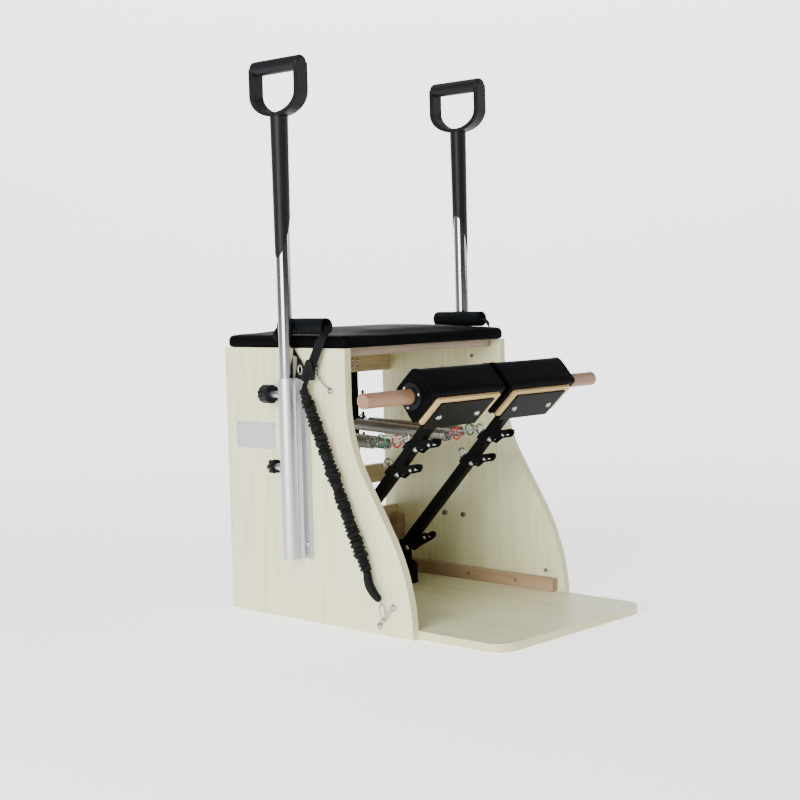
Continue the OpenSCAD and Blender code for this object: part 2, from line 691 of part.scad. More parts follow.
module side_bolts() {
    color(chrome) both() {
        for (z = holder_bolt_z, s = [-1, 1]) translate([x_out + holder_foot_t, pole_y + s*holder_bolt_y, z])
            rotate([0, -90, 0]) bolt(bolt_d, holder_foot_t + panel_t + 8, 14, 13);
        for (p = [eye_up[0], eye_low[0]]) translate([x_out + 4, p[0], p[1]])
            rotate([0, -90, 0]) bolt(screw_d, panel_t + 9.5, 9, 9);
        for (p = [eye_up[1], eye_low[1]]) translate([x_out + 4, p[0], p[1]]) rotate([0, -90, 0]) bolt(screw_d, panel_t + 2, 9);
    }
}
// bent wire eye held by two screws; a band hooks under its raised middle
module strap_eye(p) {
    a = [x_out + 2, p[0][0], p[0][1]];
    b = [x_out + 2, p[1][0], p[1][1]];
    v = unit(b - a);
    up = [eye_rise - 4, 0, 0];
    q = [a + 7*v, a + 17*v + up, b - 17*v + up, b - 7*v];
    for (c = [a, b]) translate(c) rotate([0, 90, 0]) torus(5.5, 4);
    for (i = [0:2]) let (d = q[i + 1] - q[i]) translate(q[i]) {
        rotate([0, acos(d[2]/norm(d)), atan2(d[1], d[0])]) cylinder(d = 4, h = norm(d), $fn = 24);
        sphere(d = 4.3, $fn = 24);
    }
    translate(q[3]) sphere(d = 4.3, $fn = 24);
}
module strap_eyes() { color(chrome) both() { strap_eye(eye_up); strap_eye(eye_low); } }
plate_y = [pole_y + holder_foot_w/2 + 27.5, y_back - 34];
plate_z = [380, 440];
module name_plate() {
    color(satin) difference() {
        slab(-x_out - 1.2, -x_out, plate_y[0], plate_y[1], plate_z[0], plate_z[1]);
        for (y = [plate_y[0] + 8, plate_y[1] - 8], z = [plate_z[0] + 8, plate_z[1] - 8])
            translate([-x_out, y, z]) along_x(3, 10);
    }
}
module frame_screws() {
    color(chrome) {
        both() {
            for (y = cleat_screw_y) translate([x_in - cleat_w + 1, y, deck_t + cleat_h/2]) rotate([0, 90, 0]) {
                cylinder(d = 9, h = 3);
                cylinder(d = screw_d, h = cleat_w - 1);
            }
            for (z = rail_screw_z, s = [-9, 9]) translate([arm_x + s, rail_y, z])
                rotate([-90, 0, 0]) bolt(screw_d, rail_t - 2, 9);
            translate([arm_x, rail_y, rail_low_z - 15]) rotate([-90, 0, 0]) bolt(bolt_d, rail_t - 1, 14);
        }
        for (y = [plate_y[0] + 8, plate_y[1] - 8], z = [plate_z[0] + 8, plate_z[1] - 8])
            translate([-x_out - 1.2, y, z]) rotate([0, 90, 0]) bolt(3, 1.2, 6);
    }
}

// Cushion and pull bands

// rounded rectangle with its sides drawn in, as a list of 48 points
function rim(hx, hy, r, draw) = let (
    c = [[hx - r, hy - r], [r - hx, hy - r], [r - hx, r - hy], [hx - r, r - hy]],
    p = [for (k = [0:3]) let (u = r*[cos(90*k + 90), sin(90*k + 90)]) each concat(
        [for (t = [0:15:90]) c[k] + r*[cos(90*k + t), sin(90*k + t)]],
        [for (j = [1:5]) c[k] + u + j/6*(c[(k + 1)%4] - c[k])])]
) [for (e = p) [e[0]*(1 - draw/hx*pow(cos(90*e[1]/hy), 2)), e[1]*(1 - draw/hy*pow(cos(90*e[0]/hx), 2))]];
module seat_cushion() {
    hx = x_out + cushion_over;
    y0 = top_y - 4;
    y1 = y_back - 1.5;
    hy = (y1 - y0)/2;
    n = 48;
    r = 12;
    // each layer: how far it lies inside the rim, and its height
    layers = concat(
        [[5, 0], [1.2, 4], [0, cushion_t/2]],
        [for (t = [30:30:90]) [r*(1 - cos(t)), cushion_t - r + r*sin(t)]],
        [for (k = [0.25, 0.5, 0.75]) [r + k*hy, cushion_t + cushion_crown*sin(90*k)]]
    );
    m = len(layers);
    pts = concat(
        [for (l = layers, e = rim(hx - l[0], hy - l[0], max(cushion_corner - l[0], 3), cushion_draw*(l[0] > r ? 0.2 : 1)))
            [e[0], e[1], l[1]]],
        [[0, 0, 0], [0, 0, cushion_t + cushion_crown]]
    );
    walls = [for (j = [0:m - 2], i = [0:n - 1]) let (a = j*n + i, b = j*n + (i + 1)%n) each [[a, a + n, b], [b, a + n, b + n]]];
    caps = [for (i = [0:n - 1]) each [[i, (i + 1)%n, m*n], [(m - 1)*n + (i + 1)%n, (m - 1)*n + i, m*n + 1]]];
    color(vinyl) translate([0, (y0 + y1)/2, panel_h]) polyhedron(pts, concat(walls, caps), convexity = 4);
}
module strap_grip() {
    color(vinyl) translate([foam_x, foam_y, foam_z]) rotate([90, 0, 0]) cylinder(d = foam_d, h = foam_l, center = true);
}
// a stretch of webbing between two points beside the panel, as x, y, z
module web(p, q, w0, w1) {
    hull() {
        translate(p) cube([1.6, w0, 1.6], center = true);
        translate(q) cube([1.6, w1, 1.6], center = true);
    }
}
module strap_webbing() {
    z = foam_z;
    xm = band_top[0] - 5;
    xs = pole_x - pole_d/2 - 3;
    bind = [xm, web_mid[0] + 2, web_mid[1] + 12];
    color(black) {
        for (s = [-1, 1]) translate([foam_x, foam_y + s*(foam_l/2 + 1), z]) rotate([90, 0, 0])
            cylinder(d = web_w, h = 2, center = true);
        for (s = [-1, 1]) web([foam_x + 12, foam_y + s*(foam_l/2 + 1.5), z - 2], [xs, foam_y + s*(foam_l/2 + 2.5), z - 32], 3, 4);
        web([xs, foam_y - foam_l/2 - 2.5, z - 32], bind + [0, -5, 0], 4, 20);
        web([xs, foam_y + foam_l/2 + 2.5, z - 32], [xs, pole_y - 25, z - 70], 4, 16);
        web([xs, pole_y - 25, z - 70], bind + [0, 5, 0], 16, 20);
        web(bind + [0, 0, 2], [xm + 3, band_top[1] - 2, band_top[2] + 6], 30, 18);
    }
}
module along(p, q) {
    v = q - p;
    translate(p) rotate([0, acos(v[2]/norm(v)), atan2(v[1], v[0])]) children();
}
// gathered cloth sleeve: the folds come from one wave along its length
module band_sleeve() {
    l = norm(band_bottom - band_top);
    n = 2*band_gathers;
    r = band_d/2;
    color(black) along(band_top, band_bottom) rotate_extrude() polygon(concat([[0, 0], [r - 6, 0]],
        [for (i = [1:n - 1]) [r - (i%2 == 0 ? 3.2 + sin(i*67) : 0.8 + 0.8*sin(i*41)), l*i/n]], [[r - 6, l], [0, l]]));
}
module band_ends() {
    l = norm(band_tip - band_bottom);
    color(black) both() along(band_bottom, band_tip) {
        translate([0, 0, 1.4]) cylinder(d = 20, h = l - 7.4);
        translate([0, 0, l - 6]) cylinder(d1 = 20, d2 = 12, h = 6);
    }
}
// chrome hook from the band's end to the raised middle of the lower eye
module strap_hooks() {
    m = (eye_low[0] + eye_low[1])/2;
    q = [x_out + 2 + eye_rise - 4, m[0], m[1]];
    l = norm(q - band_tip);
    color(chrome) both() along(band_tip, q) {
        translate([0, 0, 1.6]) cylinder(d = 5, h = 6.4);
        translate([0, 0, 13.5]) rotate([-90, 0, 0]) {
            rotate_extrude(angle = 180) translate([5.5, 0]) circle(d = 3.2, $fn = 24);
            for (s = [-1, 1]) translate([s*5.5, 0, 0]) rotate([90, 0, 0]) cylinder(d = 3.2, h = l - 13.5);
            translate([0, 13.5 - l, 0]) rotate([0, 0, 180]) rotate_extrude(angle = 180)
                translate([5.5, 0]) circle(d = 3.2, $fn = 24);
        }
    }
}

side(-1) side_panel();  // left_side_panel
side_panel();  // right_side_panel
deck_board();
cleats();
rear_board();
seat_board();
seat_cushion();
upper_back_rail();
lower_back_rail();
side(-1) spring_bar();  // left_spring_bar
spring_bar();  // right_spring_bar
hinge_brackets();
hinge_pins();
pedal_bumpers();
side(-1) pole_holder();  // left_pole_holder
pole_holder();  // right_pole_holder
side_bolts();
strap_eyes();
name_plate();
frame_screws();
side(-1) strap_grip();  // left_strap_grip
strap_grip();  // right_strap_grip
side(-1) strap_webbing();  // left_strap_webbing
strap_webbing();  // right_strap_webbing
side(-1) band_sleeve();  // left_band_sleeve
band_sleeve();  // right_band_sleeve
band_ends();
strap_hooks();
side(-1) coil_spring(1);  // left_outer_spring
side(-1) coil_spring(-1);  // left_inner_spring
coil_spring(-1);  // right_inner_spring
coil_spring(1);  // right_outer_spring
rear_rings();  // rear_spring_rings
side(-1) pedal_arm();  // left_pedal_arm
pedal_arm();  // right_pedal_arm
side(-1) pad_board();  // left_pad_board
pad_board();  // right_pad_board
side(-1) pedal_pad();  // left_pedal_pad
pedal_pad();  // right_pedal_pad
side(-1) pad_flange(1);  // left_pad_flange
pad_flange(1);  // right_pad_flange
side(-1) arm_clamps();  // left_arm_clamps
arm_clamps();  // right_arm_clamps
side(-1) eye_bolts();  // left_eye_bolts
eye_bolts();  // right_eye_bolts
translate([-2*arm_x, 0, 0]) arm_bolts();  // left_arm_bolts
arm_bolts();  // right_arm_bolts
side(-1) spring_rings();  // left_spring_rings
spring_rings();  // right_spring_rings
side(-1) snap_hooks();  // left_snap_hooks
snap_hooks();  // right_snap_hooks
dowel();
side(-1) pole();  // left_pole
pole();  // right_pole
side(-1) d_grip();  // left_d_grip
d_grip();  // right_d_grip
side(-1) height_knob();  // left_height_knob
height_knob();  // right_height_knob
side(-1) clamp_knob();  // left_clamp_knob
clamp_knob();  // right_clamp_knob
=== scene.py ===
# %% [markdown]
# A pilates chair, dressed for the camera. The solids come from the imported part: wooden side panels, a deck, two
# sprung pedals joined by a dowel, two poles with D-shaped grips and a pull band on each side. This lesson gives
# each solid its finish and replaces what is soft, wound or moulded with a fuller form.

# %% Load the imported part
import math
import random

import bmesh
import bpy
from mathutils import Matrix, Vector


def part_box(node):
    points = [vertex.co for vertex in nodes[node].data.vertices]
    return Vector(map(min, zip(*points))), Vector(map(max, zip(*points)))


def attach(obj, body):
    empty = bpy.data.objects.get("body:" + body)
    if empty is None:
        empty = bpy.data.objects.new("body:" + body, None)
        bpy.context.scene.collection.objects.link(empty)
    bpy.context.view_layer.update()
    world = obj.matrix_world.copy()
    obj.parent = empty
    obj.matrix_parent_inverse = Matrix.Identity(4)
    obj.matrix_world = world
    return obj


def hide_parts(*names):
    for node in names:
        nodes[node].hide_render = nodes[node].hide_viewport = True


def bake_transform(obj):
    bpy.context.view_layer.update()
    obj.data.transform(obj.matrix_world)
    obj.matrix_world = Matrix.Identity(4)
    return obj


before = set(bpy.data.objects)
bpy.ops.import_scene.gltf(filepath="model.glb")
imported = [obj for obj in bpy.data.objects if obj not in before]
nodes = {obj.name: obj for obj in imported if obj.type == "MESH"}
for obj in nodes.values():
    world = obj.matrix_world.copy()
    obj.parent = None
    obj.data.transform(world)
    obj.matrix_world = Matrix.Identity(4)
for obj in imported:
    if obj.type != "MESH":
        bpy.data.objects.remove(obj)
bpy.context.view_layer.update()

# %% [markdown]
# The camera stands where the photographer stood, in front of the chair's left corner and a little above the
# seat. Its place was worked out from the corners of the panels, the deck and the cushion. The optical axis
# missed the middle of the picture, so the camera has a small shift, and it was tipped by a little more than one
# degree.

# %% Camera
eye = Vector((-2.513463, -2.352317, 0.738513))
turn, dip, tip = 0.8438744, 0.0554905, -0.0235798
focal_pixels, picture_pixels = 1511.325, 800
ahead = Vector((math.sin(turn) * math.cos(dip), math.cos(turn) * math.cos(dip), -math.sin(dip)))
level = Vector((math.cos(turn), -math.sin(turn), 0))
upward = level.cross(ahead)
right_hand = math.cos(tip) * level + math.sin(tip) * upward
overhead = -math.sin(tip) * level + math.cos(tip) * upward

bpy.ops.object.camera_add(location=eye)
camera = bpy.context.object
camera.name = "camera"
camera.matrix_world = Matrix.Translation(eye) @ Matrix((right_hand, overhead, -ahead)).transposed().to_4x4()
camera.data.sensor_width = 36
camera.data.lens = focal_pixels / picture_pixels * camera.data.sensor_width
camera.data.shift_x = -0.0875
camera.data.shift_y = -0.0375
bpy.context.scene.camera = camera
print("lens:", round(camera.data.lens, 1), "mm")

# %% [markdown]
# The studio is a white sheet that runs along the floor and curls up far behind the chair, so that no horizon
# shows. It starts as a flat grid, and each row of it is led along a line: first the floor, then a quarter of a
# circle, then the wall.

# %% White sheet for a studio
def let_go():
    if bpy.context.object and bpy.context.object.mode != "OBJECT":
        bpy.ops.object.mode_set(mode="OBJECT")
    bpy.ops.object.select_all(action="DESELECT")


def sheet_line(s, curl_from=5.0, radius=3.0):
    """Where the sheet runs: how far ahead and how high, s metres along it."""
    turned = min(max(s - curl_from, 0) / radius, math.pi / 2)
    rest = max(s - curl_from - radius * math.pi / 2, 0)
    return min(s, curl_from) + radius * math.sin(turned), radius * (1 - math.cos(turned)) + rest


let_go()
bpy.ops.mesh.primitive_grid_add(x_subdivisions=4, y_subdivisions=120, size=2)
sheet = bpy.context.object
sheet.name = "studio_sheet"
forward = Vector((ahead.x, ahead.y, 0)).normalized()
half_width, sheet_start, half_length, below_feet = 15, -15, 12.7, 0.0006
for v in sheet.data.vertices:
    away, rise = sheet_line(sheet_start + half_length * (v.co.y + 1))
    v.co = level * half_width * v.co.x + forward * away + Vector((0, 0, rise - below_feet))
bpy.ops.object.shade_smooth()
print("sheet:", len(sheet.data.polygons), "faces")

# %% [markdown]
# Shader maths reads best as plain sums. A small class holds one output of a shader node, and its operators add
# the Math nodes, so `1 - mask * 0.5` is all that a finish has to say. Every other node comes from one method of
# the recipe, which sets the node's own settings first and then its sockets. A recipe works on any block that
# has nodes, such as the world, and a finish is the recipe of a material.

# %% A socket with operators
def linear(*rgb):
    """A colour in everyday numbers, 0 to 255, as the light values that Blender mixes."""
    shares = [c / 255 for c in rgb]
    return tuple(s / 12.92 if s <= 0.04045 else ((s + 0.055) / 1.055) ** 2.4 for s in shares) + (1,)


class Wire:
    def __init__(self, recipe, socket):
        self.recipe, self.socket = recipe, socket

    def _sum(self, operation, *values):
        return self.recipe.node("ShaderNodeMath", {"operation": operation}, dict(enumerate(values)))

    def __add__(self, other): return self._sum("ADD", self, other)
    def __radd__(self, other): return self._sum("ADD", other, self)
    def __sub__(self, other): return self._sum("SUBTRACT", self, other)
    def __rsub__(self, other): return self._sum("SUBTRACT", other, self)
    def __mul__(self, other): return self._sum("MULTIPLY", self, other)
    def __rmul__(self, other): return self._sum("MULTIPLY", other, self)
    def __gt__(self, other): return self._sum("GREATER_THAN", self, other)
    def __lt__(self, other): return self._sum("LESS_THAN", self, other)
    def __abs__(self): return self._sum("ABSOLUTE", self)
    def sin(self): return self._sum("SINE", self)


# %% A recipe of nodes
def named(sockets, key):
    """A socket by its number, or by its name or identifier."""
    return sockets[key] if isinstance(key, int) else next(s for s in sockets if key in (s.name, s.identifier))


class Recipe:
    def __init__(self, block, shader):
        block.use_nodes = True
        self.tree = block.node_tree
        self.shader = self.tree.nodes[shader]

    def node(self, kind, settings=None, sockets=None, out=0):
        made = self.tree.nodes.new(kind)
        for key, value in (settings or {}).items():
            setattr(made, key, value)
        for key, value in (sockets or {}).items():
            self._feed(named(made.inputs, key), value)
        return Wire(self, named(made.outputs, out))

    def _feed(self, target, value):
        if isinstance(value, Wire):
            self.tree.links.new(value.socket, target)
        elif hasattr(target.default_value, "__len__") and not hasattr(value, "__len__"):
            target.default_value = [value] * len(target.default_value)
        else:
            target.default_value = value

    def set(self, socket, value):
        self._feed(self.shader.inputs[socket], value)

    def axis(self, vector, which):
        return self.node("ShaderNodeSeparateXYZ", None, {0: vector}, out="XYZ".index(which))

    def stretch(self, value, low, high):
        return self.node("ShaderNodeMapRange", None, {0: value, 1: low, 2: high, 3: 0.0, 4: 1.0})

    def mix(self, share, a, b):
        return self.node("ShaderNodeMix", {"data_type": "RGBA"},
                         {"Factor_Float": share, "A_Color": a, "B_Color": b}, out="Result_Color")


# %% A finish for a surface
class Finish(Recipe):
    def __init__(self, name, colour, roughness, metallic=0.0, coat=0.0):
        self.material = bpy.data.materials.new(name)
        super().__init__(self.material, "Principled BSDF")
        self.set("Base Color", colour)
        self.set("Roughness", roughness)
        self.set("Metallic", metallic)
        self.set("Coat Weight", coat)
        self.material.diffuse_color = colour

    def place(self, scale=(1, 1, 1), turn=(0, 0, 0), shift=(0, 0, 0)):
        spot = self.node("ShaderNodeTexCoord", out="Object")
        return self.node("ShaderNodeMapping", None,
                         {"Vector": spot, "Scale": scale, "Rotation": turn, "Location": shift})

    def facing(self, which):
        return self.axis(self.node("ShaderNodeTexCoord", out="Normal"), which)

    def noise(self, where, scale=1.0, detail=4.0, rough=0.5, warp=0.0):
        return self.node("ShaderNodeTexNoise", None,
                         {"Vector": where, "Scale": scale, "Detail": detail, "Roughness": rough,
                          "Distortion": warp})

    def bump(self, height, distance, strength=1.0):
        self.set("Normal", self.node("ShaderNodeBump", None,
                                     {"Height": height, "Distance": distance, "Strength": strength}))


print("a finish is ready to be mixed")

# %% [markdown]
# One big soft light stands to the left, where the near panel is brightest in the photo, one hangs overhead and
# one fills in from the right, where the inside of the chair would else be dark. Two more light the sheet behind
# the chair. The surroundings are a dim grey that falls to near black in front of the chair. The metal tubes
# mirror that as a dark stripe beside bright ones, and the vinyl stays black.

# %% Soft lights
def soft_light(name, place, towards, size, watts, tint=(1, 1, 1)):
    bpy.ops.object.light_add(type="AREA", location=place)
    light = bpy.context.object
    light.name = name
    light.data.shape = "SQUARE"
    light.data.size = size
    light.data.energy = watts
    light.data.color = tint
    light.rotation_euler = (Vector(towards) - Vector(place)).to_track_quat("-Z", "Y").to_euler()


soft_light("key_light", (-3.7, -0.9, 1.55), (0, 0, 0.4), size=2.4, watts=245, tint=(1, 0.995, 0.98))
soft_light("top_light", (-0.3, -0.4, 4.2), (0, -0.1, 0.4), size=2.6, watts=20)
soft_light("fill_light", (3.0, -2.8, 1.7), (0, 0, 0.4), size=1.8, watts=40, tint=(0.98, 0.99, 1))
for name, k in (("left_wall_light", -1), ("right_wall_light", 1)):
    soft_light(name, level * 3.2 * k + forward * 2.8 + Vector((0, 0, 4.6)),
               level * 1.6 * k + forward * 8.0 + Vector((0, 0, 1.4)), size=2.5, watts=260)

# %% Dim surroundings
world = bpy.data.worlds.new("studio_air")
bpy.context.scene.world = world
air = Recipe(world, "Background")
dim_grey, near_black = (0.37, 0.375, 0.385, 1), (0.035, 0.035, 0.037, 1)
to_the_front = air.axis(air.node("ShaderNodeTexCoord", out="Generated"), "Y") * -1
air.set("Color", air.mix(air.stretch(to_the_front, 0.35, 0.75), dim_grey, near_black))
air.set("Strength", 1.0)
print("surroundings:", world.name)

# %% [markdown]
# The panels and the deck are board faced with a pale maple print. Its grain is low in contrast: broad soft
# flames, a fine drawn-out fibre and a few darker streaks, all running one way, upwards on the panels and
# lengthwise on the deck. Stretching a noise texture along the grain gives all three at different scales. The
# cut edges are banded in a slightly darker strip, which the surface's own normal picks out.

# %% Pale maple laminate
def maple(name, grain, edge_axis):
    finish = Finish(name, linear(224, 220, 182), 0.42, coat=0.08)
    along = {"Y": (26, 1.5, 26), "Z": (26, 26, 1.5)}[grain]
    hair_fine = tuple(a * 11 if a > 5 else a * 6 for a in along)
    narrow = tuple(a * 2.2 for a in along)
    flame = finish.stretch(finish.noise(finish.place(along), detail=5.0, rough=0.55, warp=0.9), 0.36, 0.66)
    fibre = finish.noise(finish.place(hair_fine), detail=3.0, rough=0.6)
    streak = finish.stretch(finish.noise(finish.place(narrow, shift=(3, 5, 7)), detail=2.0), 0.60, 0.72)
    colour = finish.mix(flame * 0.62, linear(226, 228, 190), linear(212, 208, 160))
    colour = finish.mix(streak * 0.45, colour, linear(188, 174, 126))
    colour = finish.mix(finish.stretch(fibre, 0.35, 0.7) * 0.40, colour, linear(198, 190, 142))
    band = abs(finish.facing(edge_axis)) < 0.5
    colour = finish.mix(band * 0.6, colour, linear(208, 198, 154))
    finish.set("Base Color", colour)
    finish.set("Roughness", 0.40 + fibre * 0.12)
    finish.bump(fibre * 0.6 + flame * 0.4, 0.0004, 0.25)
    return finish.material


panel_face = maple("maple_upright", "Z", "X")
deck_face = maple("maple_lengthwise", "Y", "Z")
print("maple:", panel_face.name, deck_face.name)

# %% [markdown]
# The cleats, the seat board's edge and the dowel are beech. Beech is pinkish brown and shows short dark flecks,
# only a millimetre or so long, along a very straight grain.

# %% Beech with its flecks
def beech(name, grain, light, dark, coat=0.1):
    finish = Finish(name, linear(*light), 0.45, coat=coat)
    along = {"X": (2, 40, 40), "Y": (40, 2, 40)}[grain]
    short = tuple(a * (14 if a > 5 else 60) for a in along)
    stripe = finish.noise(finish.place(along), detail=4.0, rough=0.6, warp=0.3)
    fleck = finish.stretch(finish.noise(finish.place(short), detail=2.0), 0.62, 0.72)
    colour = finish.mix(finish.stretch(stripe, 0.3, 0.7) * 0.7, linear(*light), linear(*dark))
    colour = finish.mix(fleck * 0.45, colour, linear(118, 84, 62))
    finish.set("Base Color", colour)
    finish.set("Roughness", 0.42 + stripe * 0.15)
    finish.bump(stripe - fleck * 0.5, 0.0003, 0.3)
    return finish.material


beech_y = beech("beech_lengthwise", "Y", (178, 150, 120), (146, 116, 88))
beech_x = beech("beech_crosswise", "X", (188, 166, 140), (124, 99, 74))
beech_round = beech("beech_dowel", "X", (150, 111, 80), (122, 85, 58), coat=0.3)
print("beech:", beech_y.name, beech_x.name, beech_round.name)

# %% [markdown]
# The back rails and the rear board are plain plywood, tan with darker growth lines, and the pads' boards are a
# more golden ply whose layers show as thin lines round its rim. Those boards lie at the pads' slope, so their
# layers are counted along an axis that is turned by that slope.

# %% Plywood
pad_slope, veneer = math.radians(42.8), 0.003


def plywood(name, light, dark, layer_turn=None):
    finish = Finish(name, linear(*light), 0.55)
    lines = finish.noise(finish.place((1.6, 34, 34)), detail=5.0, rough=0.6, warp=1.2)
    pores = finish.noise(finish.place((20, 480, 480)), detail=2.0)
    colour = finish.mix(finish.stretch(lines, 0.35, 0.68) * 0.8, linear(*light), linear(*dark))
    colour = finish.mix(finish.stretch(pores, 0.5, 0.75) * 0.3, colour, linear(*[c * 0.72 for c in dark]))
    if layer_turn is not None:
        depth = finish.axis(finish.place(turn=(layer_turn, 0, 0)), "Z")
        layers = finish.stretch((depth * (2 * math.pi / veneer)).sin(), 0.1, 0.9)
        facing = finish.node("ShaderNodeMapping", {"vector_type": "NORMAL"},
                             {"Vector": finish.node("ShaderNodeTexCoord", out="Normal"),
                              "Rotation": (layer_turn, 0, 0)})
        rim = abs(finish.axis(facing, "Z")) < 0.5
        colour = finish.mix(layers * rim * 0.55, colour, linear(*[c * 0.5 for c in dark]))
    finish.set("Base Color", colour)
    finish.bump(lines * 0.6 + pores * 0.4, 0.0004, 0.35)
    return finish.material


rail_ply = plywood("tan_plywood", (200, 183, 142), (172, 150, 106))
pad_ply = plywood("golden_plywood", (208, 180, 120), (178, 146, 86), layer_turn=pad_slope)
print("plywood:", rail_ply.name, pad_ply.name)

# %% [markdown]
# Everything that takes weight is black steel with a textured powder coat, which scatters light in fine grains.
# The grips and knobs are moulded in charcoal plastic, a little smoother, and the bumpers are plain matt rubber.
# All three mirror so little that their specular level is low.

# %% Powder coat, plastic and rubber
def grained_black(name, colour, roughness, grain, depth, sheen):
    finish = Finish(name, linear(*colour), roughness)
    finish.set("Specular IOR Level", sheen)
    speck = finish.noise(finish.place(), grain, 3.0, 0.6)
    cloud = finish.noise(finish.place(), 18.0, 3.0)
    finish.set("Base Color", finish.mix(cloud * 0.5, linear(*colour), linear(*[c * 1.4 + 2 for c in colour])))
    finish.set("Roughness", roughness + speck * 0.16 - 0.08)
    finish.bump(speck, depth, 0.5)
    return finish.material


powder_black = grained_black("powder_coat", (10, 11, 11), 0.5, grain=1400.0, depth=0.0003, sheen=0.05)
moulded_black = grained_black("moulded_plastic", (18, 19, 21), 0.38, grain=900.0, depth=0.0002, sheen=0.12)
rubber_black = grained_black("rubber", (10, 10, 11), 0.6, grain=500.0, depth=0.0002, sheen=0.12)
print("blacks:", powder_black.name, moulded_black.name, rubber_black.name)

# %% [markdown]
# Five bright metals are told apart by how far they blur what they mirror: polished chrome on the small
# fittings, a drawn stainless tube for the poles, satin anodised aluminium for the pole holders, grey spring
# wire, and brushed metal on the small plate. Fine lines along the drawn metals break up the reflection.

# %% Bright metals
def bright(name, colour, roughness, lines=None, spread=0.1):
    finish = Finish(name, linear(*colour), roughness, 1.0)
    drawn = finish.noise(finish.place(lines or (1, 1, 1)), 1.0 if lines else 60.0, rough=0.6)
    duller = linear(*[c * 0.82 for c in colour])
    finish.set("Roughness", roughness + drawn * spread - spread / 2)
    finish.set("Base Color", finish.mix(finish.stretch(drawn, 0.3, 0.7) * 0.35, linear(*colour), duller))
    finish.bump(drawn, 0.0001, 0.15)
    return finish.material


chrome = bright("chrome_fittings", (172, 173, 175), 0.12)
pole_steel = bright("stainless_tube", (168, 168, 169), 0.14, lines=(900, 900, 3), spread=0.12)
satin = bright("satin_aluminium", (202, 204, 206), 0.36, lines=(500, 500, 4))
wire_steel = bright("spring_wire", (158, 157, 153), 0.25, spread=0.02)
plate_metal = bright("bare_plate", (226, 228, 230), 0.42, lines=(4, 700, 700))
print("metals:", chrome.name, pole_steel.name, satin.name, wire_steel.name, plate_metal.name)

# %% [markdown]
# The rings that tell the springs apart are dipped in glossy paint, red on the inner springs and green on the
# outer ones. Both rings of a pedal are one solid, so the paint looks at how far out each one hangs.

# %% Ring paint
red, green, between_springs = linear(196, 14, 16), linear(10, 112, 62), 0.124
dipped = Finish("ring_paint", linear(190, 16, 18), 0.25, coat=0.5)
out_from_middle = abs(dipped.axis(dipped.place(), "X"))
dipped.set("Base Color", dipped.mix(out_from_middle > between_springs, red, green))
dipped.bump(dipped.noise(dipped.place(), 220.0), 0.0002, 0.2)
ring_paint = dipped.material
print("rings:", ring_paint.name)

# %% [markdown]
# The seat and the pads are covered in black vinyl. It has a fine pebbled grain that shows only where light
# grazes it, and a soft sheen, so its roughness wanders a little. The grip rolls are foam with a skin of the
# same kind.

# %% Black vinyl
def vinyl(name, colour, roughness, pebble, depth, sheen):
    finish = Finish(name, linear(*colour), roughness)
    finish.set("Specular IOR Level", sheen)
    grain = finish.node("ShaderNodeTexVoronoi", {"feature": "F1"},
                        {"Vector": finish.place(), "Scale": pebble, "Randomness": 0.9}, out="Distance")
    wander = finish.noise(finish.place(), 9.0, 3.0)
    finish.set("Base Color", finish.mix(wander * 0.6, linear(*colour), linear(*[c * 1.4 + 1 for c in colour])))
    finish.set("Roughness", roughness + wander * 0.18 - 0.09)
    finish.bump(grain, depth, 0.35)
    return finish.material


seat_vinyl = vinyl("seat_vinyl", (6, 6, 7), 0.5, pebble=620.0, depth=0.0004, sheen=0.018)
pad_vinyl = vinyl("pad_vinyl", (6, 6, 7), 0.42, pebble=700.0, depth=0.0003, sheen=0.02)
roll_foam = vinyl("roll_foam", (11, 13, 15), 0.5, pebble=900.0, depth=0.0003, sheen=0.05)
print("covers:", seat_vinyl.name, pad_vinyl.name, roll_foam.name)

# %% [markdown]
# The bands hang on nylon webbing. Its weave is two sets of fine ridges that cross, so two sine waves multiplied
# give the height, and the same pattern paints a highlight on the crowns of the threads, with painted shade between.

# %% Nylon weave
def weave(name, colour, pitch, sheen):
    finish = Finish(name, linear(*colour), 0.75)
    finish.set("Specular IOR Level", sheen)
    where = finish.place()
    warp = (finish.axis(where, "Y") * (2 * math.pi / pitch)).sin()
    weft = (finish.axis(where, "Z") * (2 * math.pi / pitch)).sin()
    thread = warp * weft * 0.5 + 0.5
    fluff = finish.noise(finish.place(), 260.0, 3.0)
    # Painted highlight on the crowns of the threads, painted shade in the gaps between them.
    finish.set("Base Color", finish.mix(thread * 0.6, linear(*colour), linear(*[c * 1.6 + 3 for c in colour])))
    finish.set("Roughness", 0.5 + fluff * 0.2)
    finish.bump(thread + fluff * 0.3, 0.0004, 0.5)
    return finish.material


strap_nylon = weave("strap_nylon", (9, 11, 11), pitch=0.0018, sheen=0.08)
sleeve_nylon = weave("sleeve_nylon", (8, 9, 9), pitch=0.0012, sheen=0.14)
print("weaves:", strap_nylon.name, sleeve_nylon.name)

# %% [markdown]
# Each solid now gets its finish by name. A solid keeps its shape and place, and only its material slot changes.

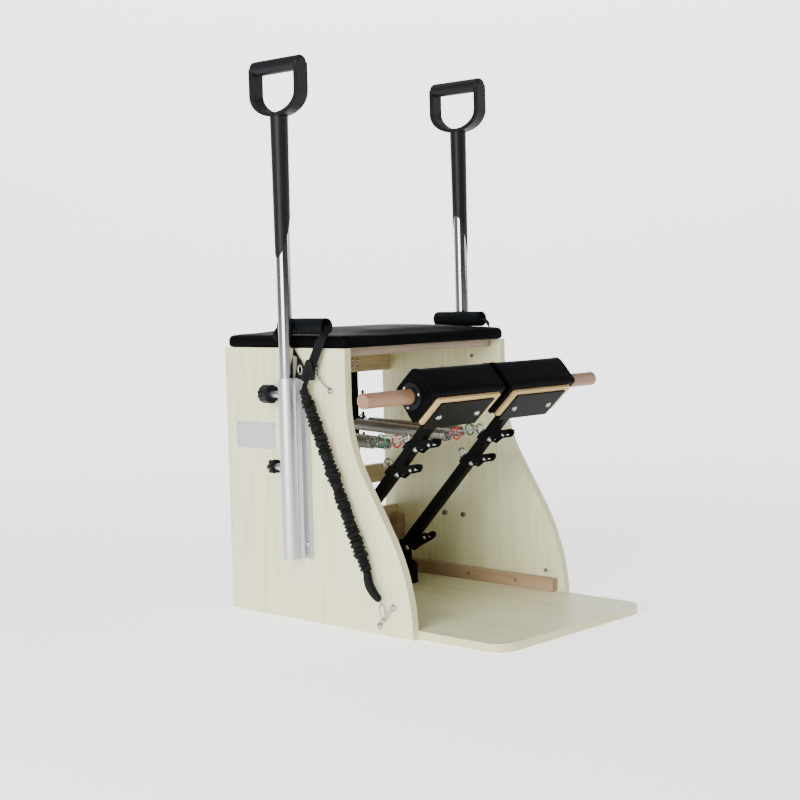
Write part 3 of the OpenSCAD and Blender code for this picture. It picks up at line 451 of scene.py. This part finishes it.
# %% Give the solids their finishes
finishes = {
    panel_face: ["left_side_panel", "right_side_panel"],
    deck_face: ["deck_board"],
    beech_y: ["cleats"],
    beech_x: ["seat_board"],
    beech_round: ["dowel"],
    rail_ply: ["rear_board", "upper_back_rail", "lower_back_rail"],
    pad_ply: ["left_pad_board", "right_pad_board"],
    powder_black: ["left_spring_bar", "right_spring_bar", "hinge_brackets", "left_pedal_arm", "right_pedal_arm",
                   "left_arm_clamps", "right_arm_clamps"],
    moulded_black: ["left_d_grip", "right_d_grip", "left_height_knob", "right_height_knob", "left_clamp_knob",
                    "right_clamp_knob", "left_pad_flange", "right_pad_flange"],
    rubber_black: ["pedal_bumpers", "band_ends"],
    chrome: ["hinge_pins", "side_bolts", "strap_eyes", "frame_screws", "strap_hooks", "left_eye_bolts",
             "right_eye_bolts", "left_arm_bolts", "right_arm_bolts", "left_snap_hooks", "right_snap_hooks"],
    pole_steel: ["left_pole", "right_pole"],
    satin: ["left_pole_holder", "right_pole_holder"],
    wire_steel: ["left_outer_spring", "left_inner_spring", "right_inner_spring", "right_outer_spring"],
    plate_metal: ["name_plate"],
    ring_paint: ["rear_spring_rings", "left_spring_rings", "right_spring_rings"],
    seat_vinyl: ["seat_cushion"],
    pad_vinyl: ["left_pedal_pad", "right_pedal_pad"],
    roll_foam: ["left_strap_grip", "right_strap_grip"],
    strap_nylon: ["left_strap_webbing", "right_strap_webbing"],
    sleeve_nylon: ["left_band_sleeve", "right_band_sleeve"],
}
for material, names in finishes.items():
    for name in names:
        solid = nodes[name].data
        solid.materials.clear()
        solid.materials.append(material)
        solid.polygons.foreach_set("material_index", [0] * len(solid.polygons))
bare = sorted(set(nodes) - {n for names in finishes.values() for n in names})
print("solids without a finish:", bare)

# %% [markdown]
# The studio sheet is matt white with a faint cloud in its roughness. It gives off a little light of its own, so
# that it stays near white in the shade of the chair too.

# %% White paint of the sheet
sheet_paint = Finish("sheet_paint", linear(250, 250, 250), 0.8)
sheet_cloud = sheet_paint.noise(sheet_paint.place(), 2.0)
sheet_paint.set("Roughness", 0.76 + sheet_cloud * 0.1)
sheet_paint.set("Emission Color", (1, 1, 1, 1))
sheet_paint.set("Emission Strength", 1.3)
sheet.data.materials.append(sheet_paint.material)
print("sheet:", sheet_paint.material.name)

# %% [markdown]
# Every soft, wound or sewn solid is now replaced by a fuller piece. They share a few small tools: one makes an
# object the only one selected, one applies a modifier, one copies a piece to the other side and one hangs a piece
# on its body and hides the solids that it stands for. The chair is a mirror image of itself, so each piece is
# made once, on the right, and copied.

# %% Small tools for the pieces
def only(piece):
    let_go()
    piece.select_set(True)
    bpy.context.view_layer.objects.active = piece


def apply(piece, kind, **settings):
    only(piece)
    modifier = piece.modifiers.new(kind.lower(), kind)
    for key, value in settings.items():
        setattr(modifier, key, value)
    bpy.ops.object.modifier_apply(modifier=modifier.name)


def settle(piece):
    only(piece)
    bpy.ops.object.transform_apply(location=True, rotation=True, scale=True)
    return piece


def faces_out(piece):
    only(piece)
    bpy.ops.object.mode_set(mode="EDIT")
    bpy.ops.mesh.select_all(action="SELECT")
    bpy.ops.mesh.normals_make_consistent(inside=False)
    bpy.ops.object.mode_set(mode="OBJECT")


def smooth(piece, angle=None):
    only(piece)
    if angle is None:
        bpy.ops.object.shade_smooth()
    else:
        bpy.ops.object.shade_smooth_by_angle(angle=math.radians(angle))


def paint(piece, material):
    piece.data.materials.clear()
    piece.data.materials.append(material)


def mirrored(piece, name):
    twin = bpy.data.objects.new(name, piece.data.copy())
    bpy.context.collection.objects.link(twin)
    twin.data.transform(Matrix.Diagonal((-1, 1, 1, 1)))
    faces_out(twin)
    return twin


def carry(piece, body, slot, *stands_for):
    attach(piece, body)
    if stands_for:
        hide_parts(*stands_for)


def join(pieces, name):
    let_go()
    for piece in pieces:
        piece.select_set(True)
    bpy.context.view_layer.objects.active = pieces[0]
    bpy.ops.object.join()
    pieces[0].name = name
    return pieces[0]


# %% [markdown]
# A cushion can be carved by hand, or its cover can be blown up as cloth. The second way gives honest fullness:
# the solid is remeshed into even squares, gas pressure pushes the cover out, and the part that is stapled down
# is held still. The swelling is capped, because vinyl over firm foam gives only a few millimetres.

# %% Padding by cloth and pressure
last_frame = 20


def padded(name, node, voxel, pressure, sunk, most, held):
    """Fill a copy of a node: sunk is how far it starts inside, most(p) caps the swelling, held(p) pins a point."""
    piece = bpy.data.objects.new(name, nodes[node].data.copy())
    bpy.context.collection.objects.link(piece)
    apply(piece, "REMESH", mode="VOXEL", voxel_size=voxel)
    points = piece.data.vertices
    seat = [v.co.copy() for v in points]
    ways = [v.normal.copy() for v in points]
    loose = [not held(p) for p in seat]
    for v, way, free in zip(points, ways, loose):
        if free:
            v.co -= way * sunk
    start = [v.co.copy() for v in points]
    group = piece.vertex_groups.new(name="held")
    group.add([i for i, free in enumerate(loose) if not free], 1.0, "REPLACE")
    only(piece)
    cloth = piece.modifiers.new("filling", "CLOTH")
    cloth.settings.quality = 5
    cloth.settings.use_pressure = True
    cloth.settings.uniform_pressure_force = pressure
    cloth.settings.effector_weights.gravity = 0
    cloth.settings.vertex_group_mass = "held"
    cloth.point_cache.frame_start, cloth.point_cache.frame_end = 1, last_frame
    for frame_number in range(1, last_frame + 1):
        bpy.context.scene.frame_set(frame_number)
    bpy.ops.object.modifier_apply(modifier=cloth.name)
    for v, p, free in zip(piece.data.vertices, start, loose):
        move = v.co - p
        limit = most(p) if free else 0.0
        if move.length > limit:
            v.co = p + move.normalized() * limit
    piece.vertex_groups.clear()
    apply(piece, "SMOOTH", factor=0.5, iterations=3)
    apply(piece, "SUBSURF", levels=1, subdivision_type="CATMULL_CLARK")
    smooth(piece)
    print(name, "faces:", len(piece.data.polygons), "swollen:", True)
    return piece


# %% [markdown]
# The seat cushion is one sewn cover over a board. Its underside stays flat on the chair, its top rises towards
# the middle, and near the foam grips it may not swell at all, because they lie on its edge.

# %% Seat cushion
low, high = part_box("seat_cushion")
flat_rim, rise_width, least_swell, more_swell = 0.055, 0.09, 0.0008, 0.006


def cushion_swell(p):
    from_rim = high[0] - abs(p.x) - flat_rim
    return least_swell + more_swell * min(1, max(0, from_rim / rise_width))


def on_the_board(p):
    return p.z < low[2] + 0.005


cushion = padded("seat_pad", "seat_cushion", 0.006, 4.0, 0.0012, cushion_swell, on_the_board)
paint(cushion, seat_vinyl)
carry(cushion, "frame", "black_vinyl", "seat_cushion")

# %% [markdown]
# A pedal pad is vinyl drawn tight round foam, flat where its board sits and pierced for the dowel. The cover is
# held at the bore, the ends and the flat back, so that only the front and the top swell. A welt runs round each
# end, where the end piece meets the wrap: a copy of the pad is cut through by a plane, and the line of the cut
# gets thickness.

# %% Welts along a cut
def welt(name, piece, cuts, radius):
    lines = []
    for where, way in cuts:
        line = bpy.data.objects.new(name, piece.data.copy())
        bpy.context.collection.objects.link(line)
        only(line)
        bpy.ops.object.mode_set(mode="EDIT")
        bpy.ops.mesh.select_all(action="SELECT")
        bpy.ops.mesh.bisect(plane_co=where, plane_no=way, clear_inner=True, clear_outer=True)
        bpy.ops.object.mode_set(mode="OBJECT")
        bpy.ops.object.convert(target="CURVE")
        line.data.bevel_depth = radius
        line.data.bevel_resolution = 2
        bpy.ops.object.convert(target="MESH")
        lines.append(bpy.context.object)
    return join(lines, name)


# %% Pedal pads
low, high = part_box("right_pedal_pad")
dowel_low, dowel_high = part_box("dowel")
bore = Vector((0, (dowel_low[1] + dowel_high[1]) / 2, (dowel_low[2] + dowel_high[2]) / 2))
back_way = Vector((0, -math.sin(pad_slope), -math.cos(pad_slope)))
bore_rim, to_the_back, end_rim = 0.031, 0.036, 0.002


def pad_held(p):
    spot = Vector((0, p.y, p.z)) - bore
    return (spot.length < bore_rim or spot.dot(back_way) > to_the_back
            or min(p.x - low[0], high[0] - p.x) < end_rim)


pad_swell, welt_inset, welt_radius = 0.0032, 0.0035, 0.0011
right_pad = padded("right_pad", "right_pedal_pad", 0.004, 4.0, 0.0015, lambda p: pad_swell, pad_held)
paint(right_pad, pad_vinyl)
ends = [(Vector((x, 0, 0)), Vector((1, 0, 0))) for x in (low[0] + welt_inset, high[0] - welt_inset)]
right_welt = welt("right_pad_welt", right_pad, ends, welt_radius)
paint(right_welt, pad_vinyl)
smooth(right_welt)
for piece, name in ((right_pad, "left_pad"), (right_welt, "left_pad_welt")):
    mirrored(piece, name)
for side in ("left", "right"):
    pad, edge = bpy.data.objects[side + "_pad"], bpy.data.objects[side + "_pad_welt"]
    carry(pad, side + "_pedal", "black_vinyl", side + "_pedal_pad")
    carry(edge, side + "_pedal", "black_vinyl")

# %% [markdown]
# Each spring is close-wound: some 58 turns that all but touch, and a loop at each end that hangs in a ring. The
# whole wire is one curve from a formula, given a round section. When a pedal goes down, the front of the spring
# must follow it while the back stays on its post; here each coil is baked in place and hangs on neither body.

# %% The line of the spring's wire
def wire_line(length, radius, turns, wire, hook=0.006, reach=0.020, a_turn=20, a_hook=10):
    """The middle of the wire along Z: a hook, the turns, a hook. The last two say how many points each part has."""
    half_turn = [math.pi * i / a_hook for i in range(a_hook + 1)]
    whole_turn = [2 * math.pi * i / a_turn for i in range(turns * a_turn + 1)]
    neck_out, neck_up = radius * 0.72, wire * 1.6
    back_hook = [(-hook * math.cos(t), 0, -reach + hook - hook * math.sin(t)) for t in half_turn]
    front_hook = [(hook * math.cos(t), 0, length + reach - hook + hook * math.sin(t)) for t in half_turn]
    coil = [(radius * math.cos(t), radius * math.sin(t), length * i / (turns * a_turn))
            for i, t in enumerate(whole_turn)]
    return ([(-hook, 0, -hook)] + back_hook + [(neck_out, 0, -neck_up)] + coil
            + [(neck_out, 0, length + neck_up)] + front_hook + [(-hook, 0, length + hook)])


# %% Close-wound springs
def wound(name, back, front, turns=58, outer=0.028, wire=0.0041):
    along = (front - back).normalized()
    across = Vector((1, 0, 0))
    grid = Matrix((across, along.cross(across), along)).transposed()
    bpy.ops.curve.primitive_nurbs_path_add()
    curve = bpy.context.object
    curve.data.splines.clear()
    spline = curve.data.splines.new("POLY")
    line = [back + grid @ Vector(p) for p in wire_line((front - back).length, (outer - wire) / 2, turns, wire)]
    spline.points.add(len(line) - 1)
    for point, place in zip(spline.points, line):
        point.co = (*place, 1)
    curve.data.bevel_depth = wire / 2
    curve.data.bevel_resolution = 2
    curve.data.use_fill_caps = True
    only(curve)
    bpy.ops.object.convert(target="MESH")
    piece = bpy.context.object
    piece.name = name
    smooth(piece)
    return piece


end_loop, post_height = 0.0218, 0.402
for side, k in (("left", -1), ("right", 1)):
    for which, x, front_height in (("inner", 0.100, 0.38789), ("outer", 0.148, 0.39429)):
        node = side + "_" + which + "_spring"
        spring_low, spring_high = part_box(node)
        front = Vector((k * x, spring_low[1] + end_loop, front_height))
        back = Vector((k * x, spring_high[1] - end_loop, post_height))
        spring = wound(side + "_" + which + "_coil", back, front)
        paint(spring, wire_steel)
        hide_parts(node)
        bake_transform(spring)

# %% [markdown]
# The foam grip is a thick-walled tube with softened rims. The webbing comes out of both of its ends, so its
# ends are hollow: a cylinder's end faces are inset and pushed in, and its rims are bevelled.

# %% Foam grips
low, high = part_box("right_strap_grip")
centre = (Vector(low) + Vector(high)) / 2
roll_radius, foam_wall, hollow, rim_radius = 0.018, 0.0065, 0.012, 0.003
bpy.ops.mesh.primitive_cylinder_add(vertices=64, radius=roll_radius, depth=high[1] - low[1], location=centre,
                                    rotation=(math.pi / 2, 0, 0))
grip = settle(bpy.context.object)
grip.name = "right_foam_grip"
only(grip)
bpy.ops.object.mode_set(mode="EDIT")
bpy.ops.mesh.select_all(action="DESELECT")
shape = bmesh.from_edit_mesh(grip.data)
for face in shape.faces:
    face.select = abs(face.normal.y) > 0.9
bmesh.update_edit_mesh(grip.data)
bpy.ops.mesh.inset(thickness=foam_wall, use_individual=True)
shape = bmesh.from_edit_mesh(grip.data)
for face in [f for f in shape.faces if f.select]:
    bmesh.ops.translate(shape, verts=list(face.verts), vec=-hollow * face.normal)
bmesh.update_edit_mesh(grip.data)
bpy.ops.object.mode_set(mode="OBJECT")
apply(grip, "BEVEL", width=rim_radius, segments=4, limit_method="ANGLE", angle_limit=math.radians(40))
faces_out(grip)
smooth(grip, 50)
paint(grip, roll_foam)
mirrored(grip, "left_foam_grip")
for side in ("left", "right"):
    carry(bpy.data.objects[side + "_foam_grip"], "frame", "grip_foam", side + "_strap_grip")
print("foam grip:", len(grip.data.polygons), "faces")

# %% [markdown]
# The webbing is flat, so it is not simulated but led along its way: a grid is bent so that its middle follows a
# smooth path and its width turns with it, and then it gets its thickness. Two straps come out of the foam grip,
# run down outside the panel and meet under a stitched patch, from which one narrow band goes on to the sleeve.
# Each station of a path gives the middle of the strap, the way that its width points, and how wide it is there.

# %% Straps that follow a path
def between(values, t):
    """A smooth run through a list of vectors, t from 0 to 1."""
    t = min(max(t, 0), 1) * (len(values) - 1)
    i = min(int(t), len(values) - 2)
    f = t - i
    a, b, c, d = (values[max(min(j, len(values) - 1), 0)] for j in (i - 1, i, i + 1, i + 2))
    bend, twist = 2 * a - 5 * b + 4 * c - d, 3 * b - a - 3 * c + d
    return 0.5 * (2 * b + (c - a) * f + bend * f * f + twist * f * f * f)


webbing_thickness = 0.0018


def strap(name, stations, thick=webbing_thickness, steps=48):
    bpy.ops.mesh.primitive_grid_add(x_subdivisions=6, y_subdivisions=steps, size=2)
    piece = bpy.context.object
    piece.name = name
    middles = [Vector(s[0]) for s in stations]
    widths = [Vector(s[1]).normalized() * s[2] / 2 for s in stations]
    for v in piece.data.vertices:
        t = (v.co.y + 1) / 2
        v.co = between(middles, t) + between(widths, t) * v.co.x
    apply(piece, "SOLIDIFY", thickness=thick, offset=0)
    apply(piece, "BEVEL", width=thick * 0.3, segments=2, limit_method="ANGLE", angle_limit=math.radians(50))
    faces_out(piece)
    smooth(piece, 40)
    return piece


# %% Webbing of one band
front_strap = strap("front_strap", [
    ((0.257, 0.082, 0.6580), (1, 0, 0), 0.019), ((0.257, 0.0655, 0.6578), (1, 0, 0), 0.020),
    ((0.2655, 0.0605, 0.6490), (1, 0.1, -0.25), 0.022), ((0.2790, 0.0655, 0.6290), (0.55, 0.8, -0.1), 0.024),
    ((0.2830, 0.0790, 0.5990), (0.1, 1, 0.2), 0.025), ((0.2860, 0.0920, 0.5700), (0, 1, 0.3), 0.028),
    ((0.2865, 0.0980, 0.5440), (0, 1, 0), 0.034)])
rear_strap = strap("rear_strap", [
    ((0.257, 0.202, 0.6580), (1, 0, 0), 0.019), ((0.257, 0.2190, 0.6575), (1, 0, 0), 0.020),
    ((0.2640, 0.2235, 0.6490), (1, 0, -0.3), 0.021), ((0.2722, 0.2170, 0.6270), (0.1, 1, 0.3), 0.022),
    ((0.2722, 0.1850, 0.6120), (0, 0.5, 1), 0.024), ((0.2722, 0.1520, 0.5960), (0, 0.8, 1), 0.020),
    ((0.2765, 0.1375, 0.5760), (0, 1, 0.4), 0.022), ((0.2825, 0.1290, 0.5450), (0, 1, 0), 0.037)])
patch = strap("patch", [
    ((0.2885, 0.0955, 0.5860), (0, 1, 0.1), 0.016), ((0.2885, 0.0985, 0.5650), (0, 1, 0), 0.031),
    ((0.2885, 0.1010, 0.5420), (0, 1, 0), 0.046)], thick=0.0026, steps=16)
neck = strap("neck", [
    ((0.2885, 0.1030, 0.5500), (0, 1, 0), 0.015), ((0.2900, 0.1060, 0.5380), (0, 1, 0), 0.014),
    ((0.2920, 0.1110, 0.5200), (0, 1, 0), 0.014)], thick=0.0040, steps=12)
bridge = strap("bridge", [
    ((0.2850, 0.1370, 0.5500), (0, 0, 1), 0.013), ((0.2868, 0.1150, 0.5480), (0, 0, 1), 0.014),
    ((0.2872, 0.0900, 0.5480), (0, 0, 1), 0.014)], steps=12)
webbing = join([front_strap, rear_strap, patch, neck, bridge], "right_webbing")
paint(webbing, strap_nylon)
print("webbing:", len(webbing.data.polygons), "faces")

# %% [markdown]
# A small chrome ring hangs between the two straps. It is a torus on edge, drawn out so that it is taller than
# wide.

# %% Chrome ring between the straps
bpy.ops.mesh.primitive_torus_add(location=(0.2880, 0.1255, 0.5640), rotation=(0, math.pi / 2, 0),
                                 major_radius=0.0062, minor_radius=0.0014, major_segments=48, minor_segments=16)
link = bpy.context.object
link.name = "right_strap_ring"
taller = 1.55
link.scale = (taller, 1, 1)
settle(link)
smooth(link)
paint(link, chrome)
mirrored(link, "left_strap_ring")
for side in ("left", "right"):
    carry(bpy.data.objects[side + "_strap_ring"], "frame", "chrome_fittings")
print("strap ring:", len(link.data.polygons), "faces")

# %% [markdown]
# The stitches on the patch are short lengths of thread, each a tiny capsule half sunk in the cloth, along a
# line just inside its edges.

# %% Stitches on the patch
def stitches(name, corners, pitch=0.0032, length=0.0022, radius=0.00032):
    bpy.ops.mesh.primitive_cylinder_add(vertices=8, radius=radius, depth=length)
    thread = settle(bpy.context.object)
    apply(thread, "BEVEL", width=radius * 0.5, segments=1, limit_method="ANGLE")
    made = []
    for a, b in zip(corners, corners[1:]):
        a, b = Vector(a), Vector(b)
        count = max(1, int((b - a).length / pitch))
        turn = (b - a).to_track_quat("Z", "Y").to_matrix().to_4x4()
        for i in range(count):
            one = bpy.data.objects.new(name, thread.data.copy())
            bpy.context.collection.objects.link(one)
            one.data.transform(Matrix.Translation(a.lerp(b, (i + 0.5) / count)) @ turn)
            made.append(one)
    bpy.data.objects.remove(thread)
    return join(made, name)


patch_middle, half_patch = 0.2885, 0.0013
x = patch_middle + half_patch
thread_line = stitches("right_stitches", [(x, 0.0905, 0.580), (x, 0.0805, 0.545), (x, 0.1215, 0.545),
                                          (x, 0.1010, 0.580), (x, 0.0905, 0.580), (x, 0.1215, 0.545)])
thread = Finish("sewing_thread", linear(52, 54, 56), 0.6)
thread.bump(thread.noise(thread.place(), 3000.0), 0.0001, 0.4)
paint(thread_line, thread.material)
smooth(thread_line)
mirrored(webbing, "left_webbing")
mirrored(thread_line, "left_stitches")
for side in ("left", "right"):
    carry(bpy.data.objects[side + "_webbing"], "frame", "webbing", side + "_strap_webbing")
    carry(bpy.data.objects[side + "_stitches"], "frame", "webbing")
print("stitches:", len(thread_line.data.polygons), "faces")

# %% [markdown]
# The sleeve is nylon cloth bunched up over a rubber cord. Its puckers come in rings that are never quite level
# nor evenly spaced, and each ring breaks into small lobes. A long cylinder takes that shape when every point's
# distance from the axis follows a wave along the sleeve. Slower waves round it tilt the rings, now one way and
# now the other: were the tilt to turn steadily, the sleeve would look like a laid rope.

# %% Where the rings of the sleeve lie
def ring_place(g, a):
    """How many rings lie before a point, g gathers along the sleeve at the angle a round it."""
    uneven = 0.20 * math.sin(1.9 * g + 0.7) + 0.12 * math.sin(3.1 * g + 2.2)
    tilt = 0.26 * math.sin(a) * math.sin(2.1 * g + 0.5) + 0.24 * math.cos(a) * math.sin(1.37 * g + 2.0)
    ripple = (0.13 * math.sin(2 * a + 1.0) * math.sin(1.13 * g + 4.0)
              + 0.09 * math.cos(3 * a) * math.sin(1.71 * g + 1.0))
    return g + uneven + tilt + ripple


# %% Gathered sleeves
def sleeve(name, top, bottom, radius, gathers, seed):
    chance = random.Random(seed)
    shifts = [chance.uniform(-0.16, 0.16) for _ in range(gathers + 2)]
    lobes = [chance.uniform(0, 2 * math.pi) for _ in range(gathers + 2)]
    depths = [chance.uniform(0.6, 1.0) for _ in range(gathers + 2)]
    length = (bottom - top).length
    bpy.ops.mesh.primitive_grid_add(x_subdivisions=96, y_subdivisions=gathers * 12, size=2)
    piece = bpy.context.object
    piece.name = name
    grid = (bottom - top).to_track_quat("Z", "X").to_matrix()
    for v in piece.data.vertices:
        a, t = math.pi * (v.co.x + 1), (v.co.y + 1) / 2
        s = ring_place(t * gathers, a)
        i = min(int(max(s, 0)), gathers)
        pucker = abs(math.sin(math.pi * s)) ** 0.8
        fold = 0.5 + 0.5 * math.cos(7 * a + lobes[i])
        crease = 0.5 + 0.5 * math.cos(13 * a + 2.3 * lobes[i])
        drawn_in = min(1.0, 0.72 + 0.28 * min(t, 1 - t) * gathers / 3)
        ring = 0.42 * pucker * depths[i] * (0.85 + 0.15 * math.cos(2 * a + lobes[i]))
        r = radius * drawn_in * (0.52 + ring + 0.05 * fold + 0.04 * crease * pucker)
        lean = length * shifts[i] * 0.010 * pucker * math.cos(a + lobes[i])
        v.co = top + grid @ Vector((r * math.cos(a), r * math.sin(a), length * t + lean))
    only(piece)
    bpy.ops.object.mode_set(mode="EDIT")
    bpy.ops.mesh.select_all(action="SELECT")
    bpy.ops.mesh.remove_doubles(threshold=0.00002)
    bpy.ops.mesh.select_all(action="DESELECT")
    bpy.ops.mesh.select_non_manifold()
    bpy.ops.mesh.edge_face_add()
    bpy.ops.object.mode_set(mode="OBJECT")
    faces_out(piece)
    smooth(piece)
    return piece


right_sleeve = sleeve("right_sleeve", top=Vector((0.2925, 0.112, 0.522)), bottom=Vector((0.286, -0.064, 0.137)),
                      radius=0.0172, gathers=38, seed=7)
paint(right_sleeve, sleeve_nylon)
mirrored(right_sleeve, "left_sleeve")
for side in ("left", "right"):
    carry(bpy.data.objects[side + "_sleeve"], "frame", "webbing", side + "_band_sleeve")
print("sleeve:", len(right_sleeve.data.polygons), "faces")

# %% [markdown]
# The rubber comes out of the sleeve in a thick tapered boot that bends forward to its hook. It is a curve
# again, and this time each point of the curve also says how thick the boot is there.

# %% Rubber ends
way = [Vector(p) for p in ((0.2858, -0.0650, 0.1385), (0.2862, -0.0675, 0.1220), (0.2860, -0.0730, 0.1060),
                           (0.2845, -0.0850, 0.0900), (0.2832, -0.0985, 0.0790))]
bpy.ops.curve.primitive_nurbs_path_add()
boot = bpy.context.object
boot.data.splines.clear()
spline = boot.data.splines.new("POLY")
stretches, thickest = 40, 0.0104
spline.points.add(stretches)
for i, point in enumerate(spline.points):
    t = i / stretches
    belly = 0.80 + 0.20 * math.sin(math.pi * min(t * 1.15, 1)) ** 0.8
    rounded_ends = min(1, 0.55 + (1 - t) * 5, 0.6 + t * 8)
    point.co = (*between(way, t), 1)
    point.radius = belly * rounded_ends
boot.data.bevel_depth = thickest
boot.data.bevel_resolution = 6
boot.data.use_fill_caps = True
only(boot)
bpy.ops.object.convert(target="MESH")
boot = bpy.context.object
faces_out(boot)
smooth(boot, 60)
boots = join([mirrored(boot, "left_boot"), boot], "rubber_ends")
paint(boots, rubber_black)
carry(boots, "frame", "bumper_rubber", "band_ends")
print("rubber ends:", len(boots.data.polygons), "faces")

# %% [markdown]
# Three small screws hold each flange of the dowel on the pad's end. The CAD has their holes, and here they get
# their heads.

# %% Flange screws
low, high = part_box("right_pad_flange")
screw_circle, head_radius, head_depth, flatter = 0.024, 0.0036, 0.0030, 0.55
screws = []
for i in range(3):
    t = math.radians(30 + 120 * i) + math.pi - pad_slope
    spot = bore + Vector((high[0] - head_depth, screw_circle * math.cos(t), screw_circle * math.sin(t)))
    bpy.ops.mesh.primitive_uv_sphere_add(segments=24, ring_count=12, radius=head_radius, location=spot)
    head = bpy.context.object
    head.scale = (flatter, 1, 1)
    screws.append(settle(head))
right_screws = join(screws, "right_flange_screws")
paint(right_screws, chrome)
smooth(right_screws)
mirrored(right_screws, "left_flange_screws")
for side in ("left", "right"):
    carry(bpy.data.objects[side + "_flange_screws"], side + "_pedal", "chrome_fittings")
print("flange screws:", len(right_screws.data.polygons), "faces")
